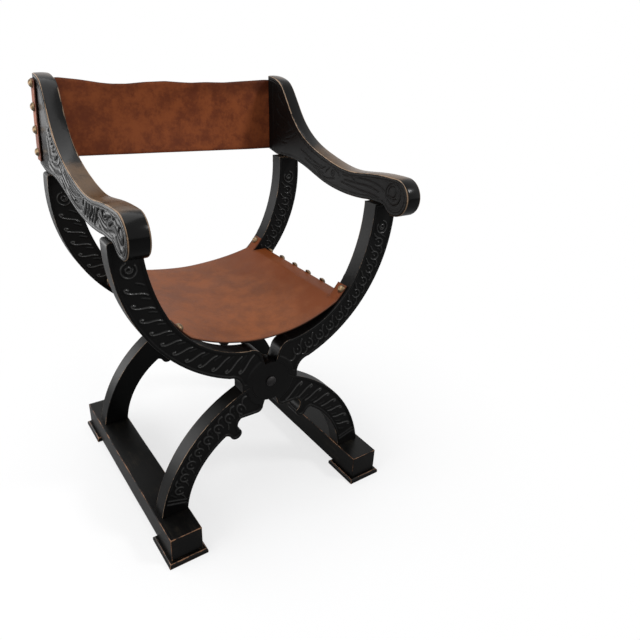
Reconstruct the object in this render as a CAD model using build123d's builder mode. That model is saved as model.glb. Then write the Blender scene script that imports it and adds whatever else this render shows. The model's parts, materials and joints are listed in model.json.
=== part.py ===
from build123d import *
from math import cos, radians, sin, sqrt
import os

os.makedirs("parts", exist_ok=True)

# A folding armchair on two scissor frames of curved timber, with a slung leather seat and back.
# X runs to the sitter's left, Y to the back and Z up. The floor is Z = 0, and X = Y = 0 is the
# middle of the chair's floor plan. All sizes are in millimetres.

# ---------------------------------------------------------------- driving dimensions
# Runners and their pads
runner_length = 520.0
runner_width = 64.0
runner_height = 52.8
runner_outset = 3.6            # the runner's middle stands this far outside the leg's middle
pad_height = 10.6
pad_overhang = 7.7
pad_length = 80.0              # the part of a pad that lies under its runner
pad_bevel = 4.0

# The scissor frames
pivot_height = 300.0
member_thickness = 35.0
front_frame_setback = 60.0     # from the runner's front end to the front frame
frame_gap = 317.0              # clear depth between the two frames
front_seat_of_arm = 628.0      # height of the front limb tops, where the arms sit
rear_seat_of_arm = 656.0

# The curved edges of a limb and a leg are circles, placed from the pivot. An outer circle has its
# radius and the point where it is nearest to the joint. An inner one is shifted from the outer.
limb_outer_radius = 303.2
limb_sole_x = -18.0            # lowest point of the limb's outer circle
limb_sole_z = 12.5
limb_lower_shift_x = 43.0      # the lower of the two circles of the limb's inner edge
limb_lower_shift_z = -41.7
limb_lower_lessening = 108.2   # its radius is this much less than the outer one's
limb_upper_shift_x = -87.0
limb_upper_shift_z = 17.3
limb_upper_growth = 34.8       # the upper one's radius is this much more
limb_bend_angle = 27.35        # below level, where the inner edge passes from lower to upper
limb_shoulder_radius = 6.0
leg_outer_radius = 306.0
leg_crown_x = -61.5            # highest point of the leg's outer circle
leg_crown_z = 18.2
leg_inner_shift_x = 57.0
leg_inner_shift_z = 29.4
leg_inner_lessening = 113.7

# The halved joint at the pivot
disc_radius = 42.0
disc_clearance = 0.3
lap_clearance = 0.2
stop_clearance = 0.2
notch_half_angle = 17.5        # half the angle that the two notches leave for folding
notch_reach = 63.0             # how far the upper notch's straight flanks reach from the pivot
lower_notch_reach = 55.0
limb_root_x = 48.0             # where the limb's inner edge starts
tongue_x = 62.5                # end of the tongue that rests on the other member's leg
tongue_fillet = 27.0
tongue_drop = 30.0             # from the start of that fillet to its end
root_reach = 30.0              # the outlines start inside the disc, this far from the pivot

# The carved bracket under each leg. Its points are given from its heel on the leg's inner edge.
bracket_heel_x = 100.0
bracket_heel_hollow = 1.5
bracket_scroll_out_x = -11.7
bracket_scroll_out_z = -9.0
bracket_tip_x = -23.0
bracket_tip_z = -15.0
bracket_scroll_in_x = -34.2
bracket_scroll_in_z = 2.0
bracket_hollow_x = -26.2
bracket_hollow_z = 16.5
bracket_ceiling_x = -34.2
bracket_ceiling_z = 31.0
lower_notch_round = 14.0       # rounding between the lower notch and the bracket's ceiling

# Pivot pins
pin_radius = 6.0
pin_head_radius = 10.5
pin_head_height = 6.0
pin_head_rim = 2.0
pin_fixed_clearance = 0.02
pin_running_clearance = 0.06
washer_radius = 12.0
washer_thickness = 2.0
washer_play = 0.3
rivet_radius = 9.0
rivet_height = 3.0

# Tenons, dowels and screws
tenon_length = 24.0
tenon_thickness = 14.0
tenon_shoulder = 9.0           # the leg is this much wider than its tenon on each side
joint_clearance = 0.1
dowel_radius = 4.0
dowel_length = 44.0
dowel_spacing = 14.0
screw_radius = 2.5
screw_head_radius = 5.0
screw_head_height = 3.0
screw_clearance = 0.05
screw_recess = 12.0            # how deep the leg screws are sunk in the runner
screw_recess_clearance = 1.0
drill_margin = 1.0             # blind holes go this much deeper than what they hold
leg_screw_length = 50.0
pad_screw_length = 30.0
pad_screw_spacing = 48.0

# Arms
arm_thickness = 30.6           # at the rear edge
arm_scroll_thickness = 35.6    # the inner face tapers back from the middle of the scroll
arm_inset = 7.3                # the front limb's outer edge stands this far outside the arm
scroll_radius = 35.5
scroll_reach = 56.0            # from the front frame's middle to the middle of the scroll
scroll_rise = 21.0             # from the front seat to the middle of the scroll
arm_seat_length = 44.0         # flat part of the arm's underside on a limb top
arm_tail_reach = 57.5          # from the rear frame's middle to the arm's rear edge
arm_tail_rise = 7.0            # the underside's rise at the rear edge
upright_height = 172.0         # from the rear seat to the top of the upright
upright_round = 40.0           # length of the rounded top
upright_round_drop = 6.0
upright_round_slope = 0.3      # rise over run where the arm's sweep meets that rounding
scroll_throat = 26.0           # the scroll runs under the arm to this far behind its own middle

# Knots of the arm's outline: y behind a frame's middle, z above that frame's limb top
arm_grip_y = 19.5              # top edge, from the front frame
arm_grip_z = 51.5
arm_slope_y = 88.5
arm_slope_z = 43.5
arm_waist_y = -181.5           # top edge, from the rear frame
arm_waist_z = 26.5
sweep_foot_y = -108.0
sweep_foot_z = 49.5
sweep_middle_y = -54.5
sweep_middle_z = 87.0
sweep_head_y = -12.0
sweep_head_z = 142.0
belly_rear_y = -107.5          # underside, from the rear frame
belly_rear_z = -8.0
belly_low_y = -169.5
belly_low_z = -24.0
belly_front_y = 117.5          # underside, from the front frame
belly_front_z = -4.5
hollow_y = 72.5
hollow_z = -5.0

# Seat rails
rail_centre_x = 177.0
rail_width = 30.0
rail_height = 30.0
rail_top = 434.0
rail_tenon_length = 15.0
rail_tenon_margin = 7.0

# Leather
leather = 3.0
leather_gap = 0.3
seat_front_sag = 37.0          # the seat's middle is this far below the rails' tops, in front
seat_rear_sag = 19.5
seat_ear_rise = 19.0           # from the rails' tops to the nails in the seat's ears
seat_ear_above_nail = 8.0
seat_flap_drop = 20.0          # the flap hangs this far below the rail's top, outside
seat_frame_gap = 2.0           # between the seat's full width and the frames
seat_end_margin = 8.0          # from the seat's ends to the frames' outer faces
back_bottom = 668.0
back_top = 817.0
back_flap = 25.0

# Nails
nail_head_radius = 8.5
nail_head_height = 6.5
nail_shank_radius = 1.2
nail_length = 15.0
nail_hole_clearance = 0.05
nail_leather_clearance = 0.4
rail_nail_count = 6
rail_nail_spacing = 55.0
rail_nail_drop = 4.0           # below the rail's top
back_nail_count = 4
back_nail_margin = 19.0        # from the back leather's lower edge to the lowest nail
back_nail_top_margin = 6.0
back_nail_inset = 12.0         # from the arm's rear edge

# ---------------------------------------------------------------- sizes worked out from those
half_lap = member_thickness / 2
runner_top = pad_height + runner_height
foot_z = runner_top - pivot_height
seat_ear_height = rail_top + seat_ear_rise

limb_outer_centre = (limb_sole_x, limb_sole_z + limb_outer_radius)
limb_lower_centre = (
    limb_outer_centre[0] + limb_lower_shift_x,
    limb_outer_centre[1] + limb_lower_shift_z,
)
limb_lower_radius = limb_outer_radius - limb_lower_lessening
limb_upper_centre = (
    limb_outer_centre[0] + limb_upper_shift_x,
    limb_outer_centre[1] + limb_upper_shift_z,
)
limb_upper_radius = limb_outer_radius + limb_upper_growth
leg_outer_centre = (leg_crown_x, leg_crown_z - leg_outer_radius)
leg_inner_centre = (
    leg_outer_centre[0] + leg_inner_shift_x,
    leg_outer_centre[1] + leg_inner_shift_z,
)
leg_inner_radius = leg_outer_radius - leg_inner_lessening

# The arm's scroll reaches in front of the runners, and the pads reach behind them.
nose_overhang = scroll_reach + scroll_radius - front_frame_setback - half_lap
total_depth = nose_overhang + runner_length + pad_overhang
runner_front = nose_overhang - total_depth / 2
runner_middle = runner_front + runner_length / 2
front_frame_y = runner_front + front_frame_setback
rear_frame_y = front_frame_y + member_thickness + frame_gap
frame_faces = {"front": front_frame_y, "rear": rear_frame_y}
seats_of_arm = {"front": front_seat_of_arm, "rear": rear_seat_of_arm}
front_middle = front_frame_y + half_lap
rear_middle = rear_frame_y + half_lap
frame_middles = [front_middle, rear_middle]
pad_screw_reach = (runner_length - pad_length) / 2
pad_screw_middles = [runner_middle - pad_screw_reach, runner_middle + pad_screw_reach]


def right_of(centre, radius, z):
    """X of the right side of a circle at height z."""
    return centre[0] + sqrt(radius**2 - (z - centre[1]) ** 2)


def under(centre, radius, x):
    """Height of the underside of a circle at x."""
    return centre[1] - sqrt(radius**2 - (x - centre[0]) ** 2)


def over(centre, radius, x):
    """Height of the top of a circle at x."""
    return centre[1] + sqrt(radius**2 - (x - centre[0]) ** 2)


def from_pivot(reach, angle):
    """A point at this distance from the pivot, at an angle from straight up."""
    return (reach * sin(radians(angle)), reach * cos(radians(angle)))


foot_outer_x = right_of(leg_outer_centre, leg_outer_radius, foot_z)
foot_inner_x = right_of(leg_inner_centre, leg_inner_radius, foot_z)
foot_middle_x = (foot_outer_x + foot_inner_x) / 2
runner_x = foot_middle_x + runner_outset
tenon_width = foot_outer_x - foot_inner_x - 2 * tenon_shoulder

front_seat_rise = front_seat_of_arm - pivot_height
arm_outer_x = right_of(limb_outer_centre, limb_outer_radius, front_seat_rise) - arm_inset
arm_inner_x = arm_outer_x - arm_thickness
arm_blank_x = arm_outer_x - arm_scroll_thickness
arm_middle_x = arm_outer_x - arm_thickness / 2
arm_rear_y = rear_frame_y + half_lap + arm_tail_reach

rail_inner_x = rail_centre_x - rail_width / 2
rail_outer_x = rail_centre_x + rail_width / 2
rail_middle_z = rail_top - rail_height / 2
rail_middle_y = (front_middle + rear_middle) / 2

back_nail_low = back_bottom + back_nail_margin
back_nail_high = back_top - back_nail_top_margin
back_nail_spacing = (back_nail_high - back_nail_low) / (back_nail_count - 1)
nail_seat = leather_gap + leather + leather_gap    # a nail's head stands this far off the wood


def dome_middle(radius, height):
    """A point halfway out on a domed cap, as its distance from the axis and above its base."""
    sphere = (radius**2 + height**2) / (2 * height)
    return (radius / 2, sqrt(sphere**2 - radius**2 / 4) - sphere + height)


def frame_plane(y):
    """The upright plane at depth y, with its origin on the pivot axis and facing the front."""
    return Plane(origin=(0, y, pivot_height), x_dir=(1, 0, 0), z_dir=(0, -1, 0))


def corner_middle(upright_end, level_end):
    """The middle of a rounded corner that leaves one point upright and meets the other level."""
    across = level_end[0] - upright_end[0]
    rise = level_end[1] - upright_end[1]
    return (upright_end[0] + across * (1 - cos(radians(45))), upright_end[1] + rise * sin(radians(45)))


def from_heel(across, rise):
    """A point of the bracket, from its place beside the heel."""
    heel_z = over(leg_inner_centre, leg_inner_radius, bracket_heel_x)
    return (bracket_heel_x + across, heel_z + rise)


def limb_profile(y, side, seat_rise):
    """A limb's outline on the upright plane at depth y, on the right (side 1) or the left (-1)."""
    flank_in = from_pivot(root_reach, notch_half_angle)
    flank_out = from_pivot(notch_reach, notch_half_angle)
    root = (limb_root_x, under(limb_lower_centre, limb_lower_radius, limb_root_x))
    bend = (
        limb_lower_centre[0] + limb_lower_radius * cos(radians(limb_bend_angle)),
        limb_lower_centre[1] - limb_lower_radius * sin(radians(limb_bend_angle)),
    )
    lower_x = (limb_root_x + bend[0]) / 2
    lower_middle = (lower_x, under(limb_lower_centre, limb_lower_radius, lower_x))
    upper_z = (bend[1] + seat_rise) / 2
    upper_middle = (right_of(limb_upper_centre, limb_upper_radius, upper_z), upper_z)
    top_in = (right_of(limb_upper_centre, limb_upper_radius, seat_rise), seat_rise)
    shoulder_z = seat_rise - limb_shoulder_radius
    shoulder = (right_of(limb_outer_centre, limb_outer_radius, shoulder_z), shoulder_z)
    top_out = (shoulder[0] - limb_shoulder_radius, seat_rise)
    elbow_x = tongue_x + tongue_fillet
    elbow = (elbow_x, under(limb_outer_centre, limb_outer_radius, elbow_x))
    outer_z = (shoulder_z + elbow[1]) / 2
    outer_middle = (right_of(limb_outer_centre, limb_outer_radius, outer_z), outer_z)
    tongue_tip = (tongue_x, elbow[1] - tongue_drop)
    with BuildSketch(frame_plane(y)) as profile:
        with BuildLine():
            Line(flank_in, flank_out)
            ThreePointArc(flank_out, corner_middle(flank_out, root), root)
            ThreePointArc(root, lower_middle, bend)
            ThreePointArc(bend, upper_middle, top_in)
            Line(top_in, top_out)
            ThreePointArc(top_out, corner_middle(shoulder, top_out), shoulder)
            ThreePointArc(shoulder, outer_middle, elbow)
            ThreePointArc(elbow, corner_middle(tongue_tip, elbow), tongue_tip)
            Polyline(tongue_tip, (tongue_x, -root_reach), (0, -root_reach), flank_in)
        make_face()
        # The tongue is trimmed to rest on the leg of the other member
        with Locations(leg_outer_centre):
            Circle(leg_outer_radius + stop_clearance, mode=Mode.SUBTRACT)
        if side == -1:
            mirror(about=Plane.YZ, mode=Mode.REPLACE)
    return profile.sketch


def leg_profile(y, side):
    """A leg's outline with its bracket on the upright plane at depth y, right (1) or left (-1)."""
    root = (root_reach, over(leg_outer_centre, leg_outer_radius, root_reach))
    knee_x = (root_reach + foot_outer_x) / 2
    knee = (knee_x, over(leg_outer_centre, leg_outer_radius, knee_x))
    heel = from_heel(0, 0)
    inner_x = (foot_inner_x + bracket_heel_x) / 2
    inner_middle = (inner_x, over(leg_inner_centre, leg_inner_radius, inner_x))
    scroll_out = from_heel(bracket_scroll_out_x, bracket_scroll_out_z)
    tip = from_heel(bracket_tip_x, bracket_tip_z)
    heel_middle = (
        (heel[0] + scroll_out[0]) / 2 - bracket_heel_hollow,
        (heel[1] + scroll_out[1]) / 2 + bracket_heel_hollow,
    )
    scroll_in = from_heel(bracket_scroll_in_x, bracket_scroll_in_z)
    hollow = from_heel(bracket_hollow_x, bracket_hollow_z)
    ceiling_out = from_heel(bracket_ceiling_x, bracket_ceiling_z)
    flank_out = from_pivot(-lower_notch_reach, -notch_half_angle)
    flank_in = from_pivot(-root_reach, -notch_half_angle)
    ceiling_in = (flank_out[0] + lower_notch_round, ceiling_out[1])
    with BuildSketch(frame_plane(y)) as profile:
        with BuildLine():
            ThreePointArc(root, knee, (foot_outer_x, foot_z))
            Line((foot_outer_x, foot_z), (foot_inner_x, foot_z))
            ThreePointArc((foot_inner_x, foot_z), inner_middle, heel)
            ThreePointArc(heel, heel_middle, scroll_out)
            ThreePointArc(scroll_out, tip, scroll_in)
            ThreePointArc(scroll_in, hollow, ceiling_out)
            Line(ceiling_out, ceiling_in)
            ThreePointArc(ceiling_in, corner_middle(flank_out, ceiling_in), flank_out)
            Polyline(flank_out, flank_in, root)
        make_face()
        if side == -1:
            mirror(about=Plane.YZ, mode=Mode.REPLACE)
    return profile.sketch


def ear_nail_plane(side, y):
    """The plane on a limb's inner edge where an ear's nail goes in, facing the sitter."""
    centre = limb_lower_centre
    angle_sin = (seat_ear_height - pivot_height - centre[1]) / limb_lower_radius
    angle_cos = sqrt(1 - angle_sin**2)
    x = centre[0] + limb_lower_radius * angle_cos
    outward = (-side * angle_cos, 0, -angle_sin)
    return Plane(origin=(side * x, y, seat_ear_height), x_dir=(0, 1, 0), z_dir=outward)


# ---------------------------------------------------------------- cross members
# A member runs from one arm's limb, through the halved joint, to the leg on the other side.
# The members whose foot is on the right fill the front half of each joint.
for row in frame_faces:
    face_y = frame_faces[row]
    back_y = face_y + member_thickness
    joint_mid = face_y + half_lap
    for foot in (1, -1):
        arm = -foot
        # The half of the joint that this member fills, and the half that it leaves free
        if foot == 1:
            own_back_y = joint_mid - lap_clearance / 2
            free_back_y = back_y
            pin_hole_radius = pin_radius + pin_fixed_clearance
        else:
            own_back_y = back_y
            free_back_y = joint_mid + lap_clearance / 2
            pin_hole_radius = pin_radius + pin_running_clearance

        with BuildPart() as member:
            extrude(limb_profile(back_y, arm, seats_of_arm[row] - pivot_height), amount=member_thickness)
            extrude(leg_profile(back_y, foot), amount=member_thickness)

            # Halved joint: a disc in one half, and room for the other member's disc in the other
            with BuildSketch(frame_plane(own_back_y)):
                Circle(disc_radius)
            extrude(amount=half_lap - lap_clearance / 2)
            with BuildSketch(frame_plane(free_back_y)):
                Circle(disc_radius + disc_clearance)
            extrude(amount=half_lap + lap_clearance / 2, mode=Mode.SUBTRACT)
            with BuildSketch(frame_plane(back_y)):
                Circle(pin_hole_radius)
            extrude(amount=member_thickness, mode=Mode.SUBTRACT)

            # Foot tenon, with a pilot hole for the leg screw
            with BuildSketch(Plane.XY.offset(runner_top)):
                with Locations((foot * foot_middle_x, joint_mid)):
                    Rectangle(tenon_width, tenon_thickness)
            extrude(amount=-tenon_length)
            with BuildSketch(Plane.XY.offset(runner_top - tenon_length)):
                with Locations((foot * foot_middle_x, joint_mid)):
                    Circle(screw_radius + screw_clearance)
            extrude(amount=leg_screw_length, mode=Mode.SUBTRACT)

            # Mortise for the seat rail, and dowel holes for the arm
            mortise_depth = rail_tenon_length + joint_clearance
            if row == "front":
                mortise_y = back_y - mortise_depth / 2
            else:
                mortise_y = face_y + mortise_depth / 2
            with Locations((arm * rail_centre_x, mortise_y, rail_middle_z)):
                Box(
                    rail_width - 2 * rail_tenon_margin + 2 * joint_clearance,
                    mortise_depth,
                    rail_height - 2 * rail_tenon_margin + 2 * joint_clearance,
                    mode=Mode.SUBTRACT,
                )
            with BuildSketch(Plane.XY.offset(seats_of_arm[row])):
                with Locations((arm * arm_middle_x, joint_mid)):
                    with GridLocations(dowel_spacing, 0, 2, 1):
                        Circle(dowel_radius + joint_clearance)
            extrude(amount=-dowel_length / 2 - joint_clearance, mode=Mode.SUBTRACT)

            # Hole for the nail that holds the seat leather's ear
            with BuildSketch(ear_nail_plane(arm, joint_mid)):
                Circle(nail_shank_radius + nail_hole_clearance)
            extrude(amount=-nail_length - drill_margin, mode=Mode.SUBTRACT)
        limb_name = "left" if arm == -1 else "right"
        member.part.label = f"{row}_{limb_name}_cross_member"
        export_step(member.part, f"parts/{member.part.label}.step")


# ---------------------------------------------------------------- runners and pads
for name, side in (("left", -1), ("right", 1)):
    with BuildPart() as runner:
        with Locations((side * runner_x, runner_middle, pad_height + runner_height / 2)):
            Box(runner_width, runner_length, runner_height)
        for y in frame_middles:
            mortise_depth = tenon_length + joint_clearance
            with Locations((side * foot_middle_x, y, runner_top - mortise_depth / 2)):
                Box(
                    tenon_width + 2 * joint_clearance,
                    tenon_thickness + 2 * joint_clearance,
                    mortise_depth,
                    mode=Mode.SUBTRACT,
                )
            with Locations((side * foot_middle_x, y, pad_height)):
                Cylinder(
                    screw_head_radius + screw_recess_clearance,
                    screw_recess,
                    align=(Align.CENTER, Align.CENTER, Align.MIN),
                    mode=Mode.SUBTRACT,
                )
                Cylinder(
                    screw_radius + screw_clearance,
                    runner_height,
                    align=(Align.CENTER, Align.CENTER, Align.MIN),
                    mode=Mode.SUBTRACT,
                )
        with BuildSketch(Plane.XY.offset(pad_height)):
            for screw_y in pad_screw_middles:
                with Locations((side * runner_x, screw_y)):
                    with GridLocations(0, pad_screw_spacing, 1, 2):
                        Circle(screw_radius + screw_clearance)
        extrude(amount=pad_screw_length - pad_height + drill_margin, mode=Mode.SUBTRACT)
    runner.part.label = f"{name}_runner"
    export_step(runner.part, f"parts/{runner.part.label}.step")

    # Each end stands on a bevelled pad that spreads past the runner on its three outer sides.
    pad_full_length = pad_length + pad_overhang
    for row, end in (("front", -1), ("rear", 1)):
        pad_y = runner_middle + end * (runner_length / 2 + pad_overhang - pad_full_length / 2)
        with BuildPart() as pad:
            with Locations((side * runner_x, pad_y, pad_height / 2)):
                Box(runner_width + 2 * pad_overhang, pad_full_length, pad_height)
            chamfer(pad.faces().sort_by(Axis.Z)[-1].edges(), pad_bevel)
            with Locations((side * runner_x, pad_screw_middles[0 if end == -1 else 1])):
                with GridLocations(0, pad_screw_spacing, 1, 2):
                    with Locations((0, 0, screw_head_height)):
                        Cone(
                            screw_head_radius + screw_clearance,
                            screw_radius + screw_clearance,
                            screw_head_height,
                            align=(Align.CENTER, Align.CENTER, Align.MIN),
                            mode=Mode.SUBTRACT,
                        )
                    Cylinder(
                        screw_head_radius + screw_clearance,
                        screw_head_height,
                        align=(Align.CENTER, Align.CENTER, Align.MIN),
                        mode=Mode.SUBTRACT,
                    )
                    Cylinder(
                        screw_radius + screw_clearance,
                        pad_height,
                        align=(Align.CENTER, Align.CENTER, Align.MIN),
                        mode=Mode.SUBTRACT,
                    )
        pad.part.label = f"{name}_runner_{row}_pad"
        export_step(pad.part, f"parts/{pad.part.label}.step")

    with BuildPart() as pad_screws:
        for screw_y in pad_screw_middles:
            with Locations((side * runner_x, screw_y, screw_head_height)):
                with GridLocations(0, pad_screw_spacing, 1, 2):
                    Cone(
                        screw_head_radius,
                        screw_radius,
                        screw_head_height,
                        align=(Align.CENTER, Align.CENTER, Align.MIN),
                    )
                    Cylinder(
                        screw_radius,
                        pad_screw_length - screw_head_height,
                        align=(Align.CENTER, Align.CENTER, Align.MIN),
                    )
    pad_screws.part.label = f"{name}_pad_screws"
    export_step(pad_screws.part, f"parts/{pad_screws.part.label}.step")

    with BuildPart() as leg_screws:
        for y in frame_middles:
            with Locations((side * foot_middle_x, y, pad_height + screw_recess)):
                Cylinder(
                    screw_head_radius,
                    screw_head_height,
                    align=(Align.CENTER, Align.CENTER, Align.MAX),
                )
                Cylinder(
                    screw_radius,
                    leg_screw_length,
                    align=(Align.CENTER, Align.CENTER, Align.MIN),
                )
    leg_screws.part.label = f"{name}_leg_screws"
    export_step(leg_screws.part, f"parts/{leg_screws.part.label}.step")

# ---------------------------------------------------------------- pivot pins
# Each pin is fast in the member whose foot is on the right, and turns in the other one.
for row in frame_faces:
    face_y = frame_faces[row]
    washer_front_y = face_y + member_thickness + washer_play
    washer_back_y = washer_front_y + washer_thickness
    rivet_y = washer_back_y + rivet_height
    rivet_middle = dome_middle(rivet_radius, rivet_height)
    dome_mid = dome_middle(pin_head_radius, pin_head_height - pin_head_rim)
    with BuildPart() as pin:
        with BuildSketch(Plane(origin=(0, 0, pivot_height), x_dir=(1, 0, 0), z_dir=(0, 0, 1))):
            with BuildLine():
                Line((0, face_y - pin_head_height), (0, rivet_y))
                ThreePointArc(
                    (0, rivet_y),
                    (rivet_middle[0], washer_back_y + rivet_middle[1]),
                    (rivet_radius, washer_back_y),
                )
                Polyline(
                    (rivet_radius, washer_back_y),
                    (pin_radius, washer_back_y),
                    (pin_radius, face_y),
                    (pin_head_radius, face_y),
                    (pin_head_radius, face_y - pin_head_rim),
                )
                ThreePointArc(
                    (pin_head_radius, face_y - pin_head_rim),
                    (dome_mid[0], face_y - pin_head_rim - dome_mid[1]),
                    (0, face_y - pin_head_height),
                )
            make_face()
        revolve(axis=Axis((0, 0, pivot_height), (0, 1, 0)))
    pin.part.label = f"{row}_pivot_pin"
    export_step(pin.part, f"parts/{pin.part.label}.step")

    with BuildPart() as washer:
        with BuildSketch(frame_plane(washer_back_y)):
            Circle(washer_radius)
            Circle(pin_radius + pin_fixed_clearance, mode=Mode.SUBTRACT)
        extrude(amount=washer_thickness)
    washer.part.label = f"{row}_pivot_washer"
    export_step(washer.part, f"parts/{washer.part.label}.step")

# ---------------------------------------------------------------- arms
# Side view of an arm: depths are measured from the middle of the nearer frame, and heights from
# that frame's limb top.
scroll_middle = (front_middle - scroll_reach, front_seat_of_arm + scroll_rise)


def from_front_seat(y, z):
    return (front_middle + y, front_seat_of_arm + z)


def from_rear_seat(y, z):
    return (rear_middle + y, rear_seat_of_arm + z)


arm_top = [
    (scroll_middle[0], scroll_middle[1] + scroll_radius),
    from_front_seat(arm_grip_y, arm_grip_z),
    from_front_seat(arm_slope_y, arm_slope_z),
    from_rear_seat(arm_waist_y, arm_waist_z),
    from_rear_seat(sweep_foot_y, sweep_foot_z),
    from_rear_seat(sweep_middle_y, sweep_middle_z),
    from_rear_seat(sweep_head_y, sweep_head_z),
    from_rear_seat(arm_tail_reach - upright_round, upright_height - upright_round_drop),
]
upright_top = from_rear_seat(arm_tail_reach, upright_height)
upright_round_middle = (
    (arm_top[-1][0] + upright_top[0]) / 2,
    upright_top[1] - upright_round_drop / 4,
)
arm_tail = from_rear_seat(arm_tail_reach, arm_tail_rise)
rear_seat_back = from_rear_seat(arm_seat_length / 2, 0)
rear_seat_front = from_rear_seat(-arm_seat_length / 2, 0)
front_seat_back = from_front_seat(arm_seat_length / 2, 0)
front_seat_front = from_front_seat(-arm_seat_length / 2, 0)
arm_under = [
    rear_seat_front,
    from_rear_seat(belly_rear_y, belly_rear_z),
    from_rear_seat(belly_low_y, belly_low_z),
    from_front_seat(belly_front_y, belly_front_z),
    from_front_seat(hollow_y, hollow_z),
    front_seat_back,
]
throat = (
    scroll_middle[0] + scroll_throat,
    scroll_middle[1] - sqrt(scroll_radius**2 - scroll_throat**2),
)

for name, side in (("left", -1), ("right", 1)):
    low_face = Plane.YZ.offset(arm_blank_x if side == 1 else -arm_outer_x)
    with BuildPart() as arm_part:
        with BuildSketch(low_face):
            with BuildLine():
                Spline(*arm_top, tangents=((1, 0), (1, upright_round_slope)))
                ThreePointArc(arm_top[-1], upright_round_middle, upright_top)
                Line(upright_top, arm_tail)
                Line(arm_tail, rear_seat_back)
                Line(rear_seat_back, rear_seat_front)
                Spline(*arm_under)
                Line(front_seat_back, front_seat_front)
                Line(front_seat_front, throat)
                ThreePointArc(throat, (scroll_middle[0] - scroll_radius, scroll_middle[1]), arm_top[0])
            make_face()
        extrude(amount=arm_scroll_thickness)
        # Thinner towards the back
        with BuildSketch():
            with BuildLine():
                Polyline(
                    (side * arm_blank_x, scroll_middle[0]),
                    (side * arm_blank_x, arm_rear_y),
                    (side * arm_inner_x, arm_rear_y),
                    close=True,
                )
            make_face()
        extrude(amount=upright_top[1] + arm_thickness, mode=Mode.SUBTRACT)
        for row in frame_faces:
            with BuildSketch(Plane.XY.offset(seats_of_arm[row])):
                with Locations((side * arm_middle_x, frame_faces[row] + half_lap)):
                    with GridLocations(dowel_spacing, 0, 2, 1):
                        Circle(dowel_radius + joint_clearance)
            extrude(amount=dowel_length / 2 + joint_clearance, mode=Mode.SUBTRACT)
        with BuildSketch(Plane.YZ.offset(side * arm_outer_x)):
            with Locations((arm_rear_y - back_nail_inset, (back_nail_low + back_nail_high) / 2)):
                with GridLocations(0, back_nail_spacing, 1, back_nail_count):
                    Circle(nail_shank_radius + nail_hole_clearance)
        extrude(amount=-side * (nail_length + drill_margin), mode=Mode.SUBTRACT)
    arm_part.part.label = f"{name}_arm"
    export_step(arm_part.part, f"parts/{arm_part.part.label}.step")

    with BuildPart() as dowels:
        for row in frame_faces:
            dowel_y = frame_faces[row] + half_lap
            with Locations((side * arm_middle_x, dowel_y, seats_of_arm[row])):
                with GridLocations(dowel_spacing, 0, 2, 1):
                    Cylinder(dowel_radius, dowel_length)
    dowels.part.label = f"{name}_arm_dowels"
    export_step(dowels.part, f"parts/{dowels.part.label}.step")

# ---------------------------------------------------------------- seat rails
for name, side in (("left", -1), ("right", 1)):
    with BuildPart() as rail:
        with Locations((side * rail_centre_x, rail_middle_y, rail_middle_z)):
            Box(rail_width, frame_gap, rail_height)
            Box(
                rail_width - 2 * rail_tenon_margin,
                frame_gap + 2 * rail_tenon_length,
                rail_height - 2 * rail_tenon_margin,
            )
        with BuildSketch(Plane.YZ.offset(side * rail_outer_x)):
            with Locations((rail_middle_y, rail_top - rail_nail_drop)):
                with GridLocations(rail_nail_spacing, 0, rail_nail_count, 1):
                    Circle(nail_shank_radius + nail_hole_clearance)
        extrude(amount=-side * (nail_length + drill_margin), mode=Mode.SUBTRACT)
    rail.part.label = f"{name}_seat_rail"
    export_step(rail.part, f"parts/{rail.part.label}.step")

# ---------------------------------------------------------------- nails
nail_dome_middle = dome_middle(nail_head_radius, nail_head_height)
with BuildPart() as nail:
    with BuildSketch(Plane.XZ):
        with BuildLine():
            Polyline(
                (0, nail_seat + nail_head_height),
                (0, -nail_length),
                (nail_shank_radius, -nail_length + nail_shank_radius * 2),
                (nail_shank_radius, nail_seat),
                (nail_head_radius, nail_seat),
            )
            ThreePointArc(
                (nail_head_radius, nail_seat),
                (nail_dome_middle[0], nail_seat + nail_dome_middle[1]),
                (0, nail_seat + nail_head_height),
            )
        make_face()
    revolve(axis=Axis.Z)



def side_plane(side, x, y, z):
    """The upright plane on a face that looks away from the chair's middle, at a nail."""
    return Plane(origin=(side * x, y, z), x_dir=(0, 1, 0), z_dir=(side, 0, 0))


rail_nail_y = rail_middle_y - rail_nail_spacing * (rail_nail_count - 1) / 2
rail_nail_z = rail_top - rail_nail_drop
back_nail_y = arm_rear_y - back_nail_inset
nail_rows = {}
for name, side in (("left", -1), ("right", 1)):
    rows = {
        "seat_nails": [
            side_plane(side, rail_outer_x, rail_nail_y + number * rail_nail_spacing, rail_nail_z)
            for number in range(rail_nail_count)
        ],
        "seat_corner_nails": [ear_nail_plane(side, y) for y in frame_middles],
        "back_nails": [
            side_plane(side, arm_outer_x, back_nail_y, back_nail_low + number * back_nail_spacing)
            for number in range(back_nail_count)
        ],
    }
    for group, row in rows.items():
        with BuildPart() as nails:
            with Locations(*row):
                add(nail.part)
        nails.part.label = f"{name}_{group}"
        export_step(nails.part, f"parts/{nails.part.label}.step")
        nail_rows[nails.part.label] = row

# ---------------------------------------------------------------- leather
leather_hole_radius = nail_shank_radius + nail_leather_clearance
sheet_edge_z = rail_top + leather_gap + leather - pivot_height


def off_limb(z, distance):
    """The point that lies this far off a limb's inner edge, where that edge is at height z."""
    angle_sin = (z - pivot_height - limb_lower_centre[1]) / limb_lower_radius
    reach = limb_lower_radius - distance
    x = limb_lower_centre[0] + reach * sqrt(1 - angle_sin**2)
    return (x, limb_lower_centre[1] + reach * angle_sin)


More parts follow.
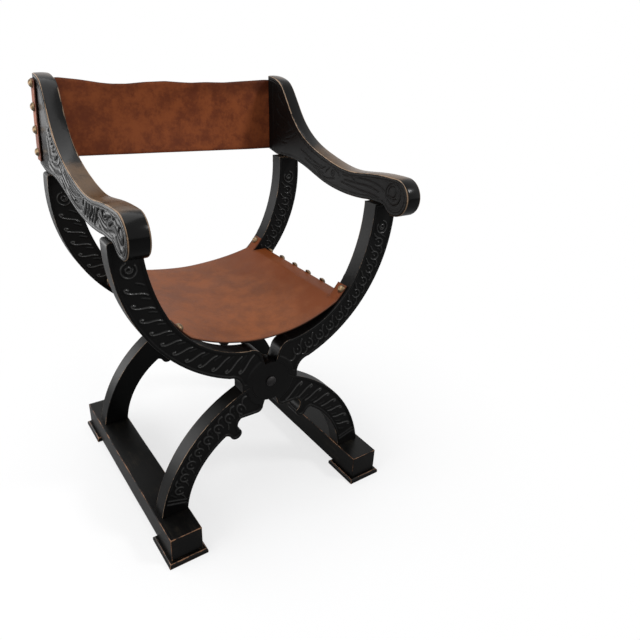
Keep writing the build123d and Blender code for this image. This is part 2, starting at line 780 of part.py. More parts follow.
def ear_root(lowest_z, edge_z, distance):
    """Where the sagging curve comes this near to a limb. It is the circle through its lowest point,
    in the middle, and the two rails' inner edges at edge_z."""
    rise = edge_z - lowest_z
    sag_radius = (rail_inner_x**2 + rise**2) / (2 * rise)
    sag_centre_z = lowest_z + sag_radius
    limb_radius = limb_lower_radius - distance
    across = limb_lower_centre[0]
    up = limb_lower_centre[1] - sag_centre_z
    apart = sqrt(across**2 + up**2)
    along = (sag_radius**2 - limb_radius**2 + apart**2) / (2 * apart)
    beside = sqrt(sag_radius**2 - along**2)
    return (
        (along * across - beside * up) / apart,
        sag_centre_z + (along * up + beside * across) / apart,
    )


def sheet_section(y, lowest_z):
    """A sagging strip of leather from rail to rail at depth y."""
    top = (rail_inner_x, sheet_edge_z)
    under_edge = (rail_inner_x, sheet_edge_z - leather)
    with BuildSketch(frame_plane(y)) as section:
        with BuildLine():
            ThreePointArc((-top[0], top[1]), (0, lowest_z), top)
            Line(top, under_edge)
            ThreePointArc(under_edge, (0, lowest_z - leather), (-under_edge[0], under_edge[1]))
            Line((-under_edge[0], under_edge[1]), (-top[0], top[1]))
        make_face()
    return section.sketch


def ear_edge(root, distance):
    """Three points up one side of an ear, from its root to its tip."""
    root_z = root[1] + pivot_height
    return [root, off_limb((root_z + ear_tip_z) / 2, distance), off_limb(ear_tip_z, distance)]


def eared_section(y, lowest_z):
    """The same strip between two limbs, with ears that lie along their inner edges."""
    far = leather_gap + leather
    top = ear_edge(ear_root(lowest_z, sheet_edge_z, far), far)
    low = ear_edge(ear_root(lowest_z - leather, sheet_edge_z - leather, leather_gap), leather_gap)
    left_top = [(-x, z) for x, z in top]
    left_low = [(-x, z) for x, z in low]
    with BuildSketch(frame_plane(y)) as section:
        with BuildLine():
            ThreePointArc(left_top[2], left_top[1], left_top[0])
            ThreePointArc(left_top[0], (0, lowest_z), top[0])
            ThreePointArc(top[0], top[1], top[2])
            Line(top[2], low[2])
            ThreePointArc(low[2], low[1], low[0])
            ThreePointArc(low[0], (0, lowest_z - leather), left_low[0])
            ThreePointArc(left_low[0], left_low[1], left_low[2])
            Line(left_low[2], left_top[2])
        make_face()
    return section.sketch


ear_tip_z = seat_ear_height + seat_ear_above_nail
seat_front_y = front_frame_y + member_thickness + seat_frame_gap
seat_rear_y = rear_frame_y - seat_frame_gap
seat_depth = seat_rear_y - seat_front_y
front_sag_z = rail_top - seat_front_sag - pivot_height
rear_sag_z = rail_top - seat_rear_sag - pivot_height
wide_front = sheet_section(seat_front_y, front_sag_z)
wide_rear = sheet_section(seat_rear_y, rear_sag_z)
narrow_front = eared_section(seat_front_y, front_sag_z)
narrow_rear = eared_section(rear_frame_y + member_thickness - seat_end_margin, rear_sag_z)
narrow_depth = seat_frame_gap + member_thickness - seat_end_margin
with BuildPart() as seat:
    # The full width, slung from rail to rail
    loft([wide_front, wide_rear])
    # Over each rail and down its outer face
    for side in (-1, 1):
        flap_out = side * (rail_outer_x + leather_gap + leather)
        flap_in = side * (rail_outer_x + leather_gap)
        flap_z = rail_top - seat_flap_drop - pivot_height
        with BuildSketch(frame_plane(seat_rear_y)):
            with BuildLine():
                Polyline(
                    (side * rail_inner_x, sheet_edge_z - leather),
                    (flap_in, sheet_edge_z - leather),
                    (flap_in, flap_z),
                    (flap_out, flap_z),
                    (flap_out, sheet_edge_z - leather),
                )
                ThreePointArc(
                    (flap_out, sheet_edge_z - leather),
                    (flap_out - side * leather * 0.3, sheet_edge_z - leather * 0.3),
                    (flap_in, sheet_edge_z),
                )
                Polyline(
                    (flap_in, sheet_edge_z),
                    (side * rail_inner_x, sheet_edge_z),
                    (side * rail_inner_x, sheet_edge_z - leather),
                )
            make_face()
        extrude(amount=seat_depth)
    # Narrower ends between the limbs, whose ears are nailed to the limbs
    extrude(narrow_front, amount=narrow_depth)
    extrude(narrow_rear, amount=narrow_depth)
    with Locations(*nail_rows["left_seat_nails"], *nail_rows["right_seat_nails"]):
        Cylinder(leather_hole_radius, 4 * leather, mode=Mode.SUBTRACT)
    with Locations(*nail_rows["left_seat_corner_nails"], *nail_rows["right_seat_corner_nails"]):
        Cylinder(leather_hole_radius, 4 * leather, mode=Mode.SUBTRACT)
seat.part.label = "seat_leather"
export_step(seat.part, "parts/seat_leather.step")

# The back is one sheet behind the uprights, folded round their rear edges onto their outer faces.
back_inner_x = arm_outer_x + leather_gap
back_inner_y = arm_rear_y + leather_gap
flap_length = back_flap + leather_gap
with BuildPart() as back:
    with BuildSketch(Plane.XY.offset(back_bottom)):
        with Locations((0, back_inner_y + leather)):
            Rectangle(
                2 * (back_inner_x + leather),
                flap_length + leather,
                align=(Align.CENTER, Align.MAX),
            )
        with Locations((0, back_inner_y)):
            Rectangle(
                2 * back_inner_x,
                flap_length,
                align=(Align.CENTER, Align.MAX),
                mode=Mode.SUBTRACT,
            )
    extrude(amount=back_top - back_bottom)
    fillet(back.edges().filter_by(Axis.Z).group_by(Axis.Y)[-1], leather)
    with Locations(*nail_rows["left_back_nails"], *nail_rows["right_back_nails"]):
        Cylinder(leather_hole_radius, 4 * leather, mode=Mode.SUBTRACT)
back.part.label = "back_leather"
export_step(back.part, "parts/back_leather.step")
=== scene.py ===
# %% [markdown]
# # A folding armchair with carved frames and a leather seat
#
# The chair has two scissor frames of curved timber, stained black, on two runners. A carved arm
# joins the tops of each pair of limbs. The seat and the back are single pieces of saddle leather,
# held by brass nails. The timber's shape is already drawn as solids, so this lesson loads them
# first, and then builds what solids leave out: carving, rounded edges, leather, nails and finish.

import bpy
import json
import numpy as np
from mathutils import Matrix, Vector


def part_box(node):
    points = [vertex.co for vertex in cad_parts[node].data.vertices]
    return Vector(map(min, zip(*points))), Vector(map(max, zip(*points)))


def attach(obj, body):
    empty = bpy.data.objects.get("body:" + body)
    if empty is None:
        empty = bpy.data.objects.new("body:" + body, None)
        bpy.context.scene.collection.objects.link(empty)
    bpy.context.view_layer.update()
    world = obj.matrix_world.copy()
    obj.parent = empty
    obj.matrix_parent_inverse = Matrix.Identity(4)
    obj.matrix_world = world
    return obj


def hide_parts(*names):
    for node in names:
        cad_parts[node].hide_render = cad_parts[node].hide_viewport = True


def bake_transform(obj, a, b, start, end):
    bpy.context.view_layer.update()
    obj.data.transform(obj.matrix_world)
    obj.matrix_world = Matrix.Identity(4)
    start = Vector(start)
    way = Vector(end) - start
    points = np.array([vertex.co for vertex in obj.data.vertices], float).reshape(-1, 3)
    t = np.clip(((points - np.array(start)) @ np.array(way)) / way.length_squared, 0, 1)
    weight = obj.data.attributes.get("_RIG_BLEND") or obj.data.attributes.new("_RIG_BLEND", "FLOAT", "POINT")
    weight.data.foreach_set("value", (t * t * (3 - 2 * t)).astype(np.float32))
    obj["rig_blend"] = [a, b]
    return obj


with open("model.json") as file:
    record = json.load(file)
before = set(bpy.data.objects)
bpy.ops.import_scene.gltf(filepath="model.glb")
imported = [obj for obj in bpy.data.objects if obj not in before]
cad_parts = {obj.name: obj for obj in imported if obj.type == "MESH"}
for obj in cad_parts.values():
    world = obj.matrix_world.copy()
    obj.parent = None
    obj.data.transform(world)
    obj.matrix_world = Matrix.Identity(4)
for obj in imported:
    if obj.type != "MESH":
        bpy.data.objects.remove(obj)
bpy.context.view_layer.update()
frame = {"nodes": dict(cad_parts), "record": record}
body_of = {
    node: body
    for body, nodes in frame["record"]["behaviour"]["bodies"].items()
    for node in nodes
}

# %% [markdown]
# ## Camera
#
# The camera stands in front of the chair's right-hand corner, a little above the arms. A camera
# object could be turned by three angles, but it is easier to say where it looks: its right, up and
# backward directions are the columns of its matrix.

# %% Place the camera
import bpy
import bmesh
import json
import math
import numpy as np
from mathutils import Matrix, Vector, kdtree, noise
from mathutils.geometry import delaunay_2d_cdt

noise.seed_set(7)  # noise vectors start from the clock otherwise, and each run would differ
azimuth, elevation, roll = math.radians(-37.0), math.radians(26.1), math.radians(3.3)
toward = Vector((
    math.sin(azimuth) * math.cos(elevation),
    -math.cos(azimuth) * math.cos(elevation),
    math.sin(elevation),
))
level_right = (-toward).cross(Vector((0, 0, 1))).normalized()
level_up = level_right.cross(-toward)
right = math.cos(roll) * level_right + math.sin(roll) * level_up
up = math.cos(roll) * level_up - math.sin(roll) * level_right

EYE = (-0.5068, -1.01905, 0.9114)
camera = bpy.data.objects.new("camera", bpy.data.cameras.new("camera"))
camera.matrix_world = Matrix((
    (right.x, up.x, toward.x, EYE[0]),
    (right.y, up.y, toward.y, EYE[1]),
    (right.z, up.z, toward.z, EYE[2]),
    (0, 0, 0, 1),
))
camera.data.sensor_width = 36.0
camera.data.lens = 32.1975
bpy.context.collection.objects.link(camera)
bpy.context.scene.camera = camera
print("lens:", round(camera.data.lens, 1), "mm")

# %% [markdown]
# ## Shader sums
#
# A material is a graph of nodes. Written out node by node, even a short sum takes many lines, so
# one small class wraps a socket and lets Python's own signs build the Math nodes. Numbers alone
# stay in Python. Any other node comes from one method, which takes the node's type, its settings
# and what goes into its sockets.

# %% A class for shader sums
mm = 0.001


class Wire:
    """One output in a material's graph, usable in sums."""

    def __init__(self, tree, socket):
        self.tree, self.socket = tree, socket

    def sum(self, operation, first, second):
        vectors = any(isinstance(x, Wire) and x.socket.type == "VECTOR" for x in (first, second))
        if vectors:
            first, second = (x if isinstance(x, Wire) else (x,) * 3 for x in (first, second))
        kind = "ShaderNodeVectorMath" if vectors else "ShaderNodeMath"
        return self.node(kind, {"operation": operation}, {0: first, 1: second})

    def __add__(self, other):
        return self.sum("ADD", self, other)

    def __sub__(self, other):
        return self.sum("SUBTRACT", self, other)

    def __rsub__(self, other):
        return self.sum("SUBTRACT", other, self)

    def __mul__(self, other):
        return self.sum("MULTIPLY", self, other)

    __radd__ = __add__
    __rmul__ = __mul__

    def node(self, kind, settings=None, sockets=None, out=0):
        """Any node: its settings first, then its sockets' values or links."""
        made = self.tree.nodes.new(kind)
        for name, value in (settings or {}).items():
            setattr(made, name, value)
        for name, value in (sockets or {}).items():
            if isinstance(value, Wire):
                self.tree.links.new(value.socket, made.inputs[name])
            elif isinstance(value, tuple) and made.inputs[name].type == "RGBA":
                made.inputs[name].default_value = (*value, 1)
            else:
                made.inputs[name].default_value = value
        return Wire(self.tree, made.outputs[out])

    def part(self, index):
        """One coordinate of a vector: 0 for x, 1 for y, 2 for z."""
        return self.node("ShaderNodeSeparateXYZ", {}, {0: self}, out=index)

    def stretched(self, x, y, z):
        """A place whose coordinates are stretched by these numbers."""
        return self * self.node("ShaderNodeCombineXYZ", {}, {0: x, 1: y, 2: z})

    def within(self, low, high):
        """0 below low, 1 above high, and smooth between."""
        return self.node(
            "ShaderNodeMapRange", {"interpolation_type": "SMOOTHSTEP"}, {0: self, 1: low, 2: high}
        )

    def mixed(self, first, second):
        """The first colour where this is 0, and the second where it is 1."""
        return self.node(
            "ShaderNodeMix", {"data_type": "RGBA"}, {0: self, 6: first, 7: second}, out=2
        )


def material(name):
    """A new material, its place in space as a Wire, and a function that sets its surface."""
    made = bpy.data.materials.new(name)
    made.use_nodes = True
    tree = made.node_tree
    shader = tree.nodes["Principled BSDF"]
    place = Wire(tree, tree.nodes.new("ShaderNodeTexCoord").outputs["Object"])

    def surface(**finish):
        for name, value in finish.items():
            socket = shader.inputs[name.replace("_", " ")]
            if isinstance(value, Wire):
                tree.links.new(value.socket, socket)
            elif isinstance(value, tuple) and socket.type == "RGBA":
                socket.default_value = (*value, 1)
            else:
                socket.default_value = value

    return made, place, surface


def mark(place, name):
    """A number that the mesh carries at its points."""
    return place.node("ShaderNodeAttribute", {"attribute_name": name}, out=2)


def cloud(place, scale, detail, rough):
    """Soft irregular patches, from 0 to 1. The scale is in patches to the metre."""
    sockets = {"Vector": place, "Scale": scale, "Detail": detail, "Roughness": rough}
    return place.node("ShaderNodeTexNoise", {}, sockets)


def bumped(height, distance, strength):
    """A normal from a height of 0 to 1 that stands for this distance in metres."""
    sockets = {"Height": height, "Distance": distance, "Strength": strength}
    return height.node("ShaderNodeBump", {}, sockets)


print("shader sums ready")

# %% [markdown]
# ## Ebonised wood
#
# The timber is oak or beech, stained black and waxed. Hands and shoes have worn the stain off its
# edges, where brown wood shows, and the bottom of the carving holds dull wax, which makes it rougher;
# its colour there is darkened as painted shade. Wear could be painted by hand, but each carved mesh
# here carries two numbers at its points: `wear`, which is 1 on an edge, and `hollow`, which is 1 at
# the bottom of the carving. The material breaks them up with noise. The grain is noise stretched
# along the timber. The arms have a third number, `rubbed`, where forearms have polished them to a
# dull brown, and the carved cords of the frames a fourth on their crests, which gives them a glossy
# coat and a painted grey highlight.

# %% The black wood
TAN = ((0.13, 0.080, 0.048), (0.42, 0.29, 0.19))
RUST = ((0.15, 0.070, 0.036), (0.37, 0.20, 0.115))
SOOT = (0.0060, 0.0054, 0.0048)
DUSTY = (0.017, 0.014, 0.010)
PALM = ((0.022, 0.013, 0.007), (0.145, 0.084, 0.042))


def black_wood(name, stretch, kept, worn=TAN, tired_black=SOOT, gloss=0.27, pores=0.25, palms=False):
    """kept says how well the stain has lasted on the edges: 2.6 is all of it, 1.5 is little. worn
    is the bare wood's colour, dark to light. pores is the depth of the grain in mm."""
    made, place, surface = material(name)
    wear, hollow, crest_gloss_and_highlight = (mark(place, number) for number in ("wear", "hollow", "crest_gloss_and_highlight"))
    grain = cloud(place.stretched(*stretch), 1.0, 5, 0.6)
    patches = cloud(place, 24, 4, 0.6)
    specks = cloud(place, 260, 3, 0.7)
    bare = (wear + patches * 1.6 + specks * 0.6 - kept).within(0.0, 0.3)
    tired = (patches + grain - 1.0).within(0.0, 0.5)
    black = tired.mixed((0.0022, 0.0021, 0.0020), tired_black)
    # painted shade: the bottom of the carving is made darker than the black around it
    black = hollow.mixed(black, (0.0016, 0.0015, 0.0014))
    # painted highlight: the tops of the carved cords are lightened to grey; the coat below is real gloss
    black = (crest_gloss_and_highlight * 0.9).mixed(black, (0.028, 0.0265, 0.025))
    rough = gloss + patches * 0.12 + hollow * 0.3
    if palms:
        rubbed = mark(place, "rubbed")
        palm = (rubbed * 1.2 + patches * 1.3 + specks * 0.3 - 1.25).within(0.0, 0.8)
        black = palm.mixed(black, (grain * 0.6 + patches * 0.5 - 0.1).mixed(*PALM))
        rough = rough + palm * 0.08
    brown = grain.mixed(*worn)
    surface(
        Base_Color=bare.mixed(black, brown),
        Roughness=rough,
        Specular_IOR_Level=0.13,
        Coat_Weight=crest_gloss_and_highlight,
        Coat_Roughness=0.22,
        Normal=bumped(grain * 0.7 + specks * 0.3, pores * mm, 0.5),
    )
    return made


wood_upright = black_wood("ebonised_upright_grain", (420.0, 420.0, 26.0), 1.95)
wood_along = black_wood("ebonised_long_grain", (420.0, 26.0, 420.0), 1.76, RUST, DUSTY)
wood_arm = black_wood("ebonised_arm", (420.0, 26.0, 300.0), 1.60, gloss=0.16, pores=0.07, palms=True)
print("wood:", wood_upright.name, wood_along.name, wood_arm.name)

# %% [markdown]
# ## A flat face made ready for carving
#
# Each carved face is flat, with a curved outline. To carve it, the face is cut out of a copy of
# the solid and filled again with many small triangles, and the points inside are then pushed in.
# A grid alone would leave a ragged edge, so the points are: the outline itself, three rings just
# inside it that round the edge over, and a honeycomb between. A constrained Delaunay
# triangulation joins them and keeps the outline whole.

# %% Distances and outlines
def inside(points, edges):
    """Which points lie inside an outline, given as its edges' ends, by counting crossings."""
    found = np.zeros(len(points), bool)
    for (ax, ay), (bx, by) in edges:
        if ay == by:
            continue
        crosses = (ay > points[:, 1]) != (by > points[:, 1])
        found ^= crosses & (points[:, 0] < ax + (bx - ax) * (points[:, 1] - ay) / (by - ay))
    return found


def nearest(points, line):
    """How far each point is from a line, how far along that is, and on which hand."""
    best, along, hand = np.full(len(points), 1e9), np.zeros(len(points)), np.ones(len(points))
    run = 0.0
    for a, b in zip(line[:-1], line[1:]):
        step = b - a
        length = np.hypot(*step)
        t = np.clip((points - a) @ step / length**2, 0, 1)
        gap = points - a - t[:, None] * step
        far = np.hypot(gap[:, 0], gap[:, 1])
        near = far < best
        best[near], along[near] = far[near], (run + t * length)[near]
        hand[near] = np.sign(step[0] * gap[:, 1] - step[1] * gap[:, 0])[near]
        run += length
    return best, along, hand


def smooth(x, low, high):
    """0 below low, 1 above high, and smooth between."""
    t = np.clip((x - low) / (high - low), 0, 1)
    return t * t * (3 - 2 * t)


def softened(line, times=2):
    """A line with its corners cut, twice over unless told."""
    line = np.array(line, float)
    for _ in range(times):
        cut = np.stack([line[:-1] * 0.75 + line[1:] * 0.25, line[:-1] * 0.25 + line[1:] * 0.75], 1)
        line = np.concatenate([line[:1], cut.reshape(-1, 2), line[-1:]])
    return line


def ring(x, y, radius, turn=1.0, start=0.0, shrink=1.0, count=24):
    """A circle or a spiral round (x, y)."""
    t = np.linspace(0, 1, count)
    a = math.radians(start) + t * turn * 2 * math.pi
    r = radius * (1 + (shrink - 1) * t)
    return np.stack([x + r * np.cos(a), y + r * np.sin(a)], 1)


print("smooth(5) from 0 to 10:", smooth(5, 0, 10))

# %% [markdown]
# Carving starts from a copy of the solid's mesh. Its points get four numbers for the finish. The
# points inside an outline then come from the rings and the honeycomb, without those that are too
# near the rim. How far each is from the rim is asked of a tree of rim points, which is quick.

# %% Points inside an outline
def welded(node):
    """A mesh to work on, copied from a solid, with its corners joined and four new numbers."""
    bm = bmesh.new()
    bm.from_mesh(frame["nodes"][node].data)
    bmesh.ops.remove_doubles(bm, verts=bm.verts, dist=2e-6)
    for name in ("wear", "hollow", "crest_gloss_and_highlight", "rubbed"):
        bm.verts.layers.float.new(name)
    return bm


def slice_across(bm, axis, places):
    """Adds a loop of edges round the mesh at each place on an axis."""
    for place in places:
        normal = Vector([float(i == axis) for i in range(3)])
        geometry = bm.verts[:] + bm.edges[:] + bm.faces[:]
        bmesh.ops.bisect_plane(bm, geom=geometry, plane_co=normal * place, plane_no=normal)


RINGS = (0.134, 0.5, 1.0)


def spread(rim, ends, rim_radius, outline, spacing):
    """The points inside a rim, how far each is from it, and the edge's radius there. rim holds
    points in mm, and ends the two of them that each of its edges joins."""
    run = rim[ends[:, 1]] - rim[ends[:, 0]]
    normal = np.stack([-run[:, 1], run[:, 0]], 1) / np.hypot(run[:, 0], run[:, 1])[:, None]
    normal[~inside(rim[ends].mean(1) + normal * 0.05, outline)] *= -1
    inward = np.zeros_like(rim)
    for column in (0, 1):
        np.add.at(inward, ends[:, column], normal)
    inward /= np.maximum(np.hypot(inward[:, 0], inward[:, 1]), 0.2)[:, None]
    rings = [rim + inward * (rim_radius * share)[:, None] for share in RINGS]
    low, high = rim.min(0), rim.max(0)
    rows = np.arange(low[1], high[1], spacing * 0.866)
    columns = np.arange(low[0], high[0], spacing)
    comb = np.array([(x + spacing / 2 * (i % 2), y) for i, y in enumerate(rows) for x in columns])
    points = np.concatenate([*rings, comb])
    wanted = np.concatenate([*(rim_radius * share * 0.8 for share in RINGS), np.full(len(comb), -1)])
    keep = inside(points, outline)
    points, wanted = points[keep], wanted[keep]
    tree = kdtree.KDTree(len(ends) * 4)
    for a, b in ends:
        for j in range(4):
            tree.insert((*(rim[a] + (rim[b] - rim[a]) * j / 4), 0), a)
    tree.balance()
    found = [tree.find((*p, 0)) for p in points]
    far = np.array([f[2] for f in found])
    own = rim_radius[[f[1] for f in found]]
    keep = np.where(wanted < 0, far > own + spacing * 0.55, far > wanted)
    return points[keep], far[keep], own[keep]


print("rings at", RINGS, "of the edge's radius")

# %% [markdown]
# A mesh's flat face is found by its level. It is deleted, its outline is cut into short edges, and
# the new triangles are joined to them. A Boolean or a displaced grid would leave a seam there.

# %% Fill the face again
def carve(bm, axis, side, form, radius, spacing, seam=None):
    """Fills the flat face of bm on one side of an axis with fine triangles, rounds its edge and
    pushes its points in by what form says. form gets the points in mm and their distance from the
    outline, and returns the depth in mm and up to three numbers: wear, hollow and crest."""
    level = side * max(side * v.co[axis] for v in bm.verts)
    two = [i for i in range(3) if i != axis]
    slice_across(bm, axis, [level - side * (radius + add) * mm for add in (0.8, 3.5)])
    flat = [f for f in bm.faces if all(abs(v.co[axis] - level) < 2e-6 for v in f.verts)]
    bmesh.ops.delete(bm, geom=flat, context="FACES")
    coarse = [e for e in bm.edges if len(e.link_faces) == 1]
    outline = [tuple(tuple(v.co[i] / mm for i in two) for v in e.verts) for e in coarse]
    for e in coarse:
        cuts = int(e.calc_length() / mm / spacing)
        if cuts:
            bmesh.ops.bisect_edges(bm, edges=[e], cuts=cuts)
    rim_edges = [e for e in bm.edges if len(e.link_faces) == 1]
    verts = list(dict.fromkeys(v for e in rim_edges for v in e.verts))
    number = {v: i for i, v in enumerate(verts)}
    rim = np.array([[v.co[i] / mm for i in two] for v in verts])
    rim_radius = np.array([radius if seam is None else seam(p, radius) for p in rim])
    ends = np.array([[number[v] for v in e.verts] for e in rim_edges])
    points, far, own = spread(rim, ends, rim_radius, outline, spacing)

    every = np.concatenate([rim, points])
    made = delaunay_2d_cdt([Vector(p) for p in every], ends.tolist(), [], 1, 1e-6)
    source = [ids[0] for ids in made[3]]
    far, own = np.concatenate([np.zeros(len(rim)), far]), np.concatenate([rim_radius, own])
    depth, *tones = form(every, far)
    drop = np.clip(own - far, 0, None)
    depth = depth + own - np.sqrt(np.maximum(own**2 - drop**2, 0))
    layers = [bm.verts.layers.float[name] for name in ("wear", "hollow", "crest_gloss_and_highlight")]
    verts += [bm.verts.new() for _ in points]
    for i, (v, p, d) in enumerate(zip(verts, every, depth)):
        v.co[two[0]], v.co[two[1]], v.co[axis] = p[0] * mm, p[1] * mm, level - side * d * mm
        for layer, tone in zip(layers, tones):
            v[layer] = tone[i]
    triangles = np.array([[source[i] for i in t] for t in made[2]])
    for t in triangles[inside(every[triangles].mean(1), outline)]:
        bm.faces.new([verts[i] for i in t])
    return len(triangles)


def finished(bm, name, finish, body, node):
    """Turns the worked mesh into a piece that stands for its solid."""
    bmesh.ops.recalc_face_normals(bm, faces=bm.faces)
    mesh = bpy.data.meshes.new(name)
    bm.to_mesh(mesh)
    bm.free()
    mesh.polygons.foreach_set("use_smooth", [True] * len(mesh.polygons))
    mesh.set_sharp_from_angle(angle=math.radians(42))
    mesh.materials.append(finish)
    piece = bpy.data.objects.new(name, mesh)
    bpy.context.collection.objects.link(piece)
    if node:
        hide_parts(*([node] if isinstance(node, str) else node))
    if body:
        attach(piece, body)
    return piece


print("tools for carving ready")

# %% [markdown]
# ## The frames' carving
#
# The left member of each frame has a running pattern of hooked strokes, up its limb and down its
# leg. The right member has open rings with tails. The ground is cut 2.6 mm deep, and the pattern
# stands up from it as rounded cords. It could be drawn in x and z, but the limbs are curved, so
# each point is first turned into how far along the limb it lies and how far across. The pattern
# is then drawn straight.

# %% Where a point lies on a limb or a leg
PIVOT = Vector((0, 0, 300.0))
OUTER_LIMB, OUTER_LEG = ((-18.0, 315.7), 303.2), ((-61.5, -287.8), 306.0)
LOWER_LIMB, UPPER_LIMB = ((25.0, 274.0), 195.0), ((-105.0, 333.0), 338.0)
INNER_LEG = ((-4.5, -258.4), 192.3)
LIMB_BEND = 184.4


def from_circle(x, z, circle):
    (cx, cz), radius = circle
    return np.hypot(x - cx, z - cz) - radius


def on_limb(x, z):
    """Along the limb from under its curve's middle, and from its outer and inner edges, in mm."""
    (cx, cz), _ = OUTER_LIMB
    along = np.arctan2(x - cx, cz - z) * 275
    inner = np.where(z < LIMB_BEND, from_circle(x, z, LOWER_LIMB), from_circle(x, z, UPPER_LIMB))
    return along, -from_circle(x, z, OUTER_LIMB), inner


def on_leg(x, z):
    (cx, cz), _ = OUTER_LEG
    along = np.arctan2(x - cx, z - cz) * 280
    return along, -from_circle(x, z, OUTER_LEG), from_circle(x, z, INNER_LEG)


def cords(points, lines, thick):
    """How high rounded cords along some lines stand at each point, from 0 to 1."""
    far = np.full(len(points), 1e9)
    for line in lines:
        far = np.minimum(far, nearest(points, line)[0])
    return np.sqrt(np.clip(1 - (far / thick) ** 2, 0, 1))


def beads(points, places, radius):
    """Domes of this radius, from 0 to 1."""
    far = np.full(len(points), 1e9)
    for x, y in places:
        far = np.minimum(far, np.hypot(points[:, 0] - x, points[:, 1] - y))
    return np.sqrt(np.clip(1 - (far / radius) ** 2, 0, 1))


def repeated(along, across, start, pitch, count, lines, eyes, thick, bead):
    """A pattern of lines and beads, repeated along a band."""
    turn = np.clip(np.floor((along - start) / pitch), 0, count - 1)
    height = np.zeros(len(along))
    for other in (-1, 0, 1):
        use = np.clip(turn + other, 0, count - 1)
        local = np.stack([along - start - use * pitch, across], 1)
        height = np.maximum(height, cords(local, lines, thick))
        height = np.maximum(height, beads(local, eyes, bead))
    return height


print("a limb's ground starts at", round(float(on_limb(0, 0)[0]), 1), "mm along")

# %% [markdown]
# One repeat of each pattern is drawn in mm: along the limb first, then across it, where the ground
# is 32 mm wide. The strokes lean, which a shear does once for all of them.

# %% One repeat of each pattern
LEANING = np.array([[1.0, 0.0], [-0.35, 1.0]])
STROKE = [softened([
    (13, -7.5), (15.5, -10.5), (12.5, -13), (8.5, -11), (6, -5.5), (5, 0), (4, 5.5), (2, 10),
    (-1.5, 13),
]) @ LEANING]
STROKE_EYE = [(14.6, -9.6)]
STROKE_FILLER = [softened([(23, 4), (21, 9), (17.5, 13)]) @ LEANING]
LOOP = [
    ring(15, 0, 8.4, 0.74, 150),
    softened([(7, -8), (4, -11.5), (-1, -13.5), (-6, -12)]),
    softened([(24.5, 5), (27.5, 10), (32, 13)]),
]
LOOP_EYE = [(15.5, 0)]
LOOP_FILLER = [softened([(25, -13), (28, -9), (29.5, -4)])]
ROUNDEL = [ring(0, 0, 12.5, 0.8, 60), ring(1, 0, 2.6, -1.3, 560, 2.5, 40)]
print("patterns drawn:", len(STROKE[0]), "points to a stroke")

# %% [markdown]
# The repeats are laid along each limb and leg, and the ground is cut round them. The disc at the
# crossing stays plain, and so do a border along each edge and the foot of each leg.

# %% The depth of the frames' carving
GROUND = 2.6
BORDER = (4.4, 5.6)
DISC = 42.0
PITCH, HALF_BAND = 28.2, 16
PATTERN_START, LEG_START, LEG_END, MOULDING = 66, 120, 350, 359.0


def running(along, across, start, end, strokes):
    """The pattern between two places along a limb or leg: its height, and how glossy its cords are, with a
    painted highlight.
    """
    count = round((end - start) / PITCH)
    pitch = (end - start) / count
    if strokes:
        main = repeated(along, across, start, pitch, count, STROKE, STROKE_EYE, 1.3, 1.4)
        filler = repeated(along, across, start, pitch, count, STROKE_FILLER, [], 1.5, 1.0)
    else:
        main = repeated(along, across, start, pitch, count, LOOP, LOOP_EYE, 1.35, 2.0)
        filler = repeated(along, across, start, pitch, count, LOOP_FILLER, [], 1.6, 1.0)
    on = (along >= start - 8) & (along <= end + 6)
    # the cords' tops get a glossy coat and a painted grey highlight
    gloss_and_highlight = main**4 * (0.9 if strokes else 0.6)
    return on * np.maximum(main, 0.65 * filler), on * gloss_and_highlight


def across_band(outer, inner):
    """How far across, stretched so that the pattern fills the width between the borders."""
    half = np.maximum((outer + inner) / 2 - 6.5, 6)
    return (outer - inner) / 2 * HALF_BAND / half


def frame_form(limb_side, limb_top, carved_leg):
    """The depth of a member's front face, as carve() wants it. The left member has strokes and the
    right one open rings. A roundel ends each limb, and a moulding each leg."""

    def form(points, edge):
        x, z = points[:, 0] * limb_side, points[:, 1] - PIVOT.z
        out = np.hypot(x, z)
        along, outer, inner = on_limb(x, z)
        leg_along, leg_outer, leg_inner = on_leg(-x, z)
        upper = (x > 0) & (z > 8)
        area = smooth(out, DISC + 10, DISC + 14) * smooth(edge, *BORDER)
        leg = area * ~upper * (x < 0) * (1 - smooth(leg_along, 364, 366)) * carved_leg
        strokes = limb_side < 0
        end = limb_top - 66
        high, crest_gloss_and_highlight = running(along, across_band(outer, inner), PATTERN_START, end, strokes)
        roundel = cords(np.stack([along - limb_top + 48, (outer - inner) / 2], 1), ROUNDEL, 1.4)
        high, crest_gloss_and_highlight = np.maximum(high, roundel), np.maximum(crest_gloss_and_highlight, 0.7 * roundel**3)
        leg_band = across_band(leg_outer, leg_inner)
        leg_high, leg_crest = running(leg_along, leg_band, LEG_START, LEG_END, strokes)
        line = np.array([(MOULDING, 4.0), (MOULDING, 60.0)])
        leg_high = np.maximum(leg_high, cords(np.stack([leg_along, leg_outer], 1), [line], 2.2))
        high, crest_gloss_and_highlight = np.where(upper, high, leg_high), np.where(upper, crest_gloss_and_highlight, leg_crest)
        ground = area * upper + leg
        depth = GROUND * ground * (1 - 0.95 * high)
        wear = np.clip(1 - edge / 1.4, 0, 1) * smooth(np.abs(out - DISC), 2, 5)
        return depth, wear, ground * (1 - high), ground * crest_gloss_and_highlight

    return form


def plain_form(points, edge):
    """A face that is left flat, with worn edges."""
    return np.zeros(len(points)), np.clip(1 - edge / 1.5, 0, 1)


def disc_seam(point, radius):
    """The round seam of the halved joint is tight, so its edges are hardly rounded."""
    return 0.2 if abs(math.hypot(point[0], point[1] - PIVOT.z) - DISC - 0.1) < 0.6 else radius


print("depth at the disc:", frame_form(1, 444, True)(np.array([[0.0, PIVOT.z]]), np.array([9.0]))[0][0])

# %% [markdown]
# The front face of each of the four members is carved. The rear faces stay flat, because they
# face the wall or the sitter's legs. The rear frame's limbs are taller, and its legs are plain.

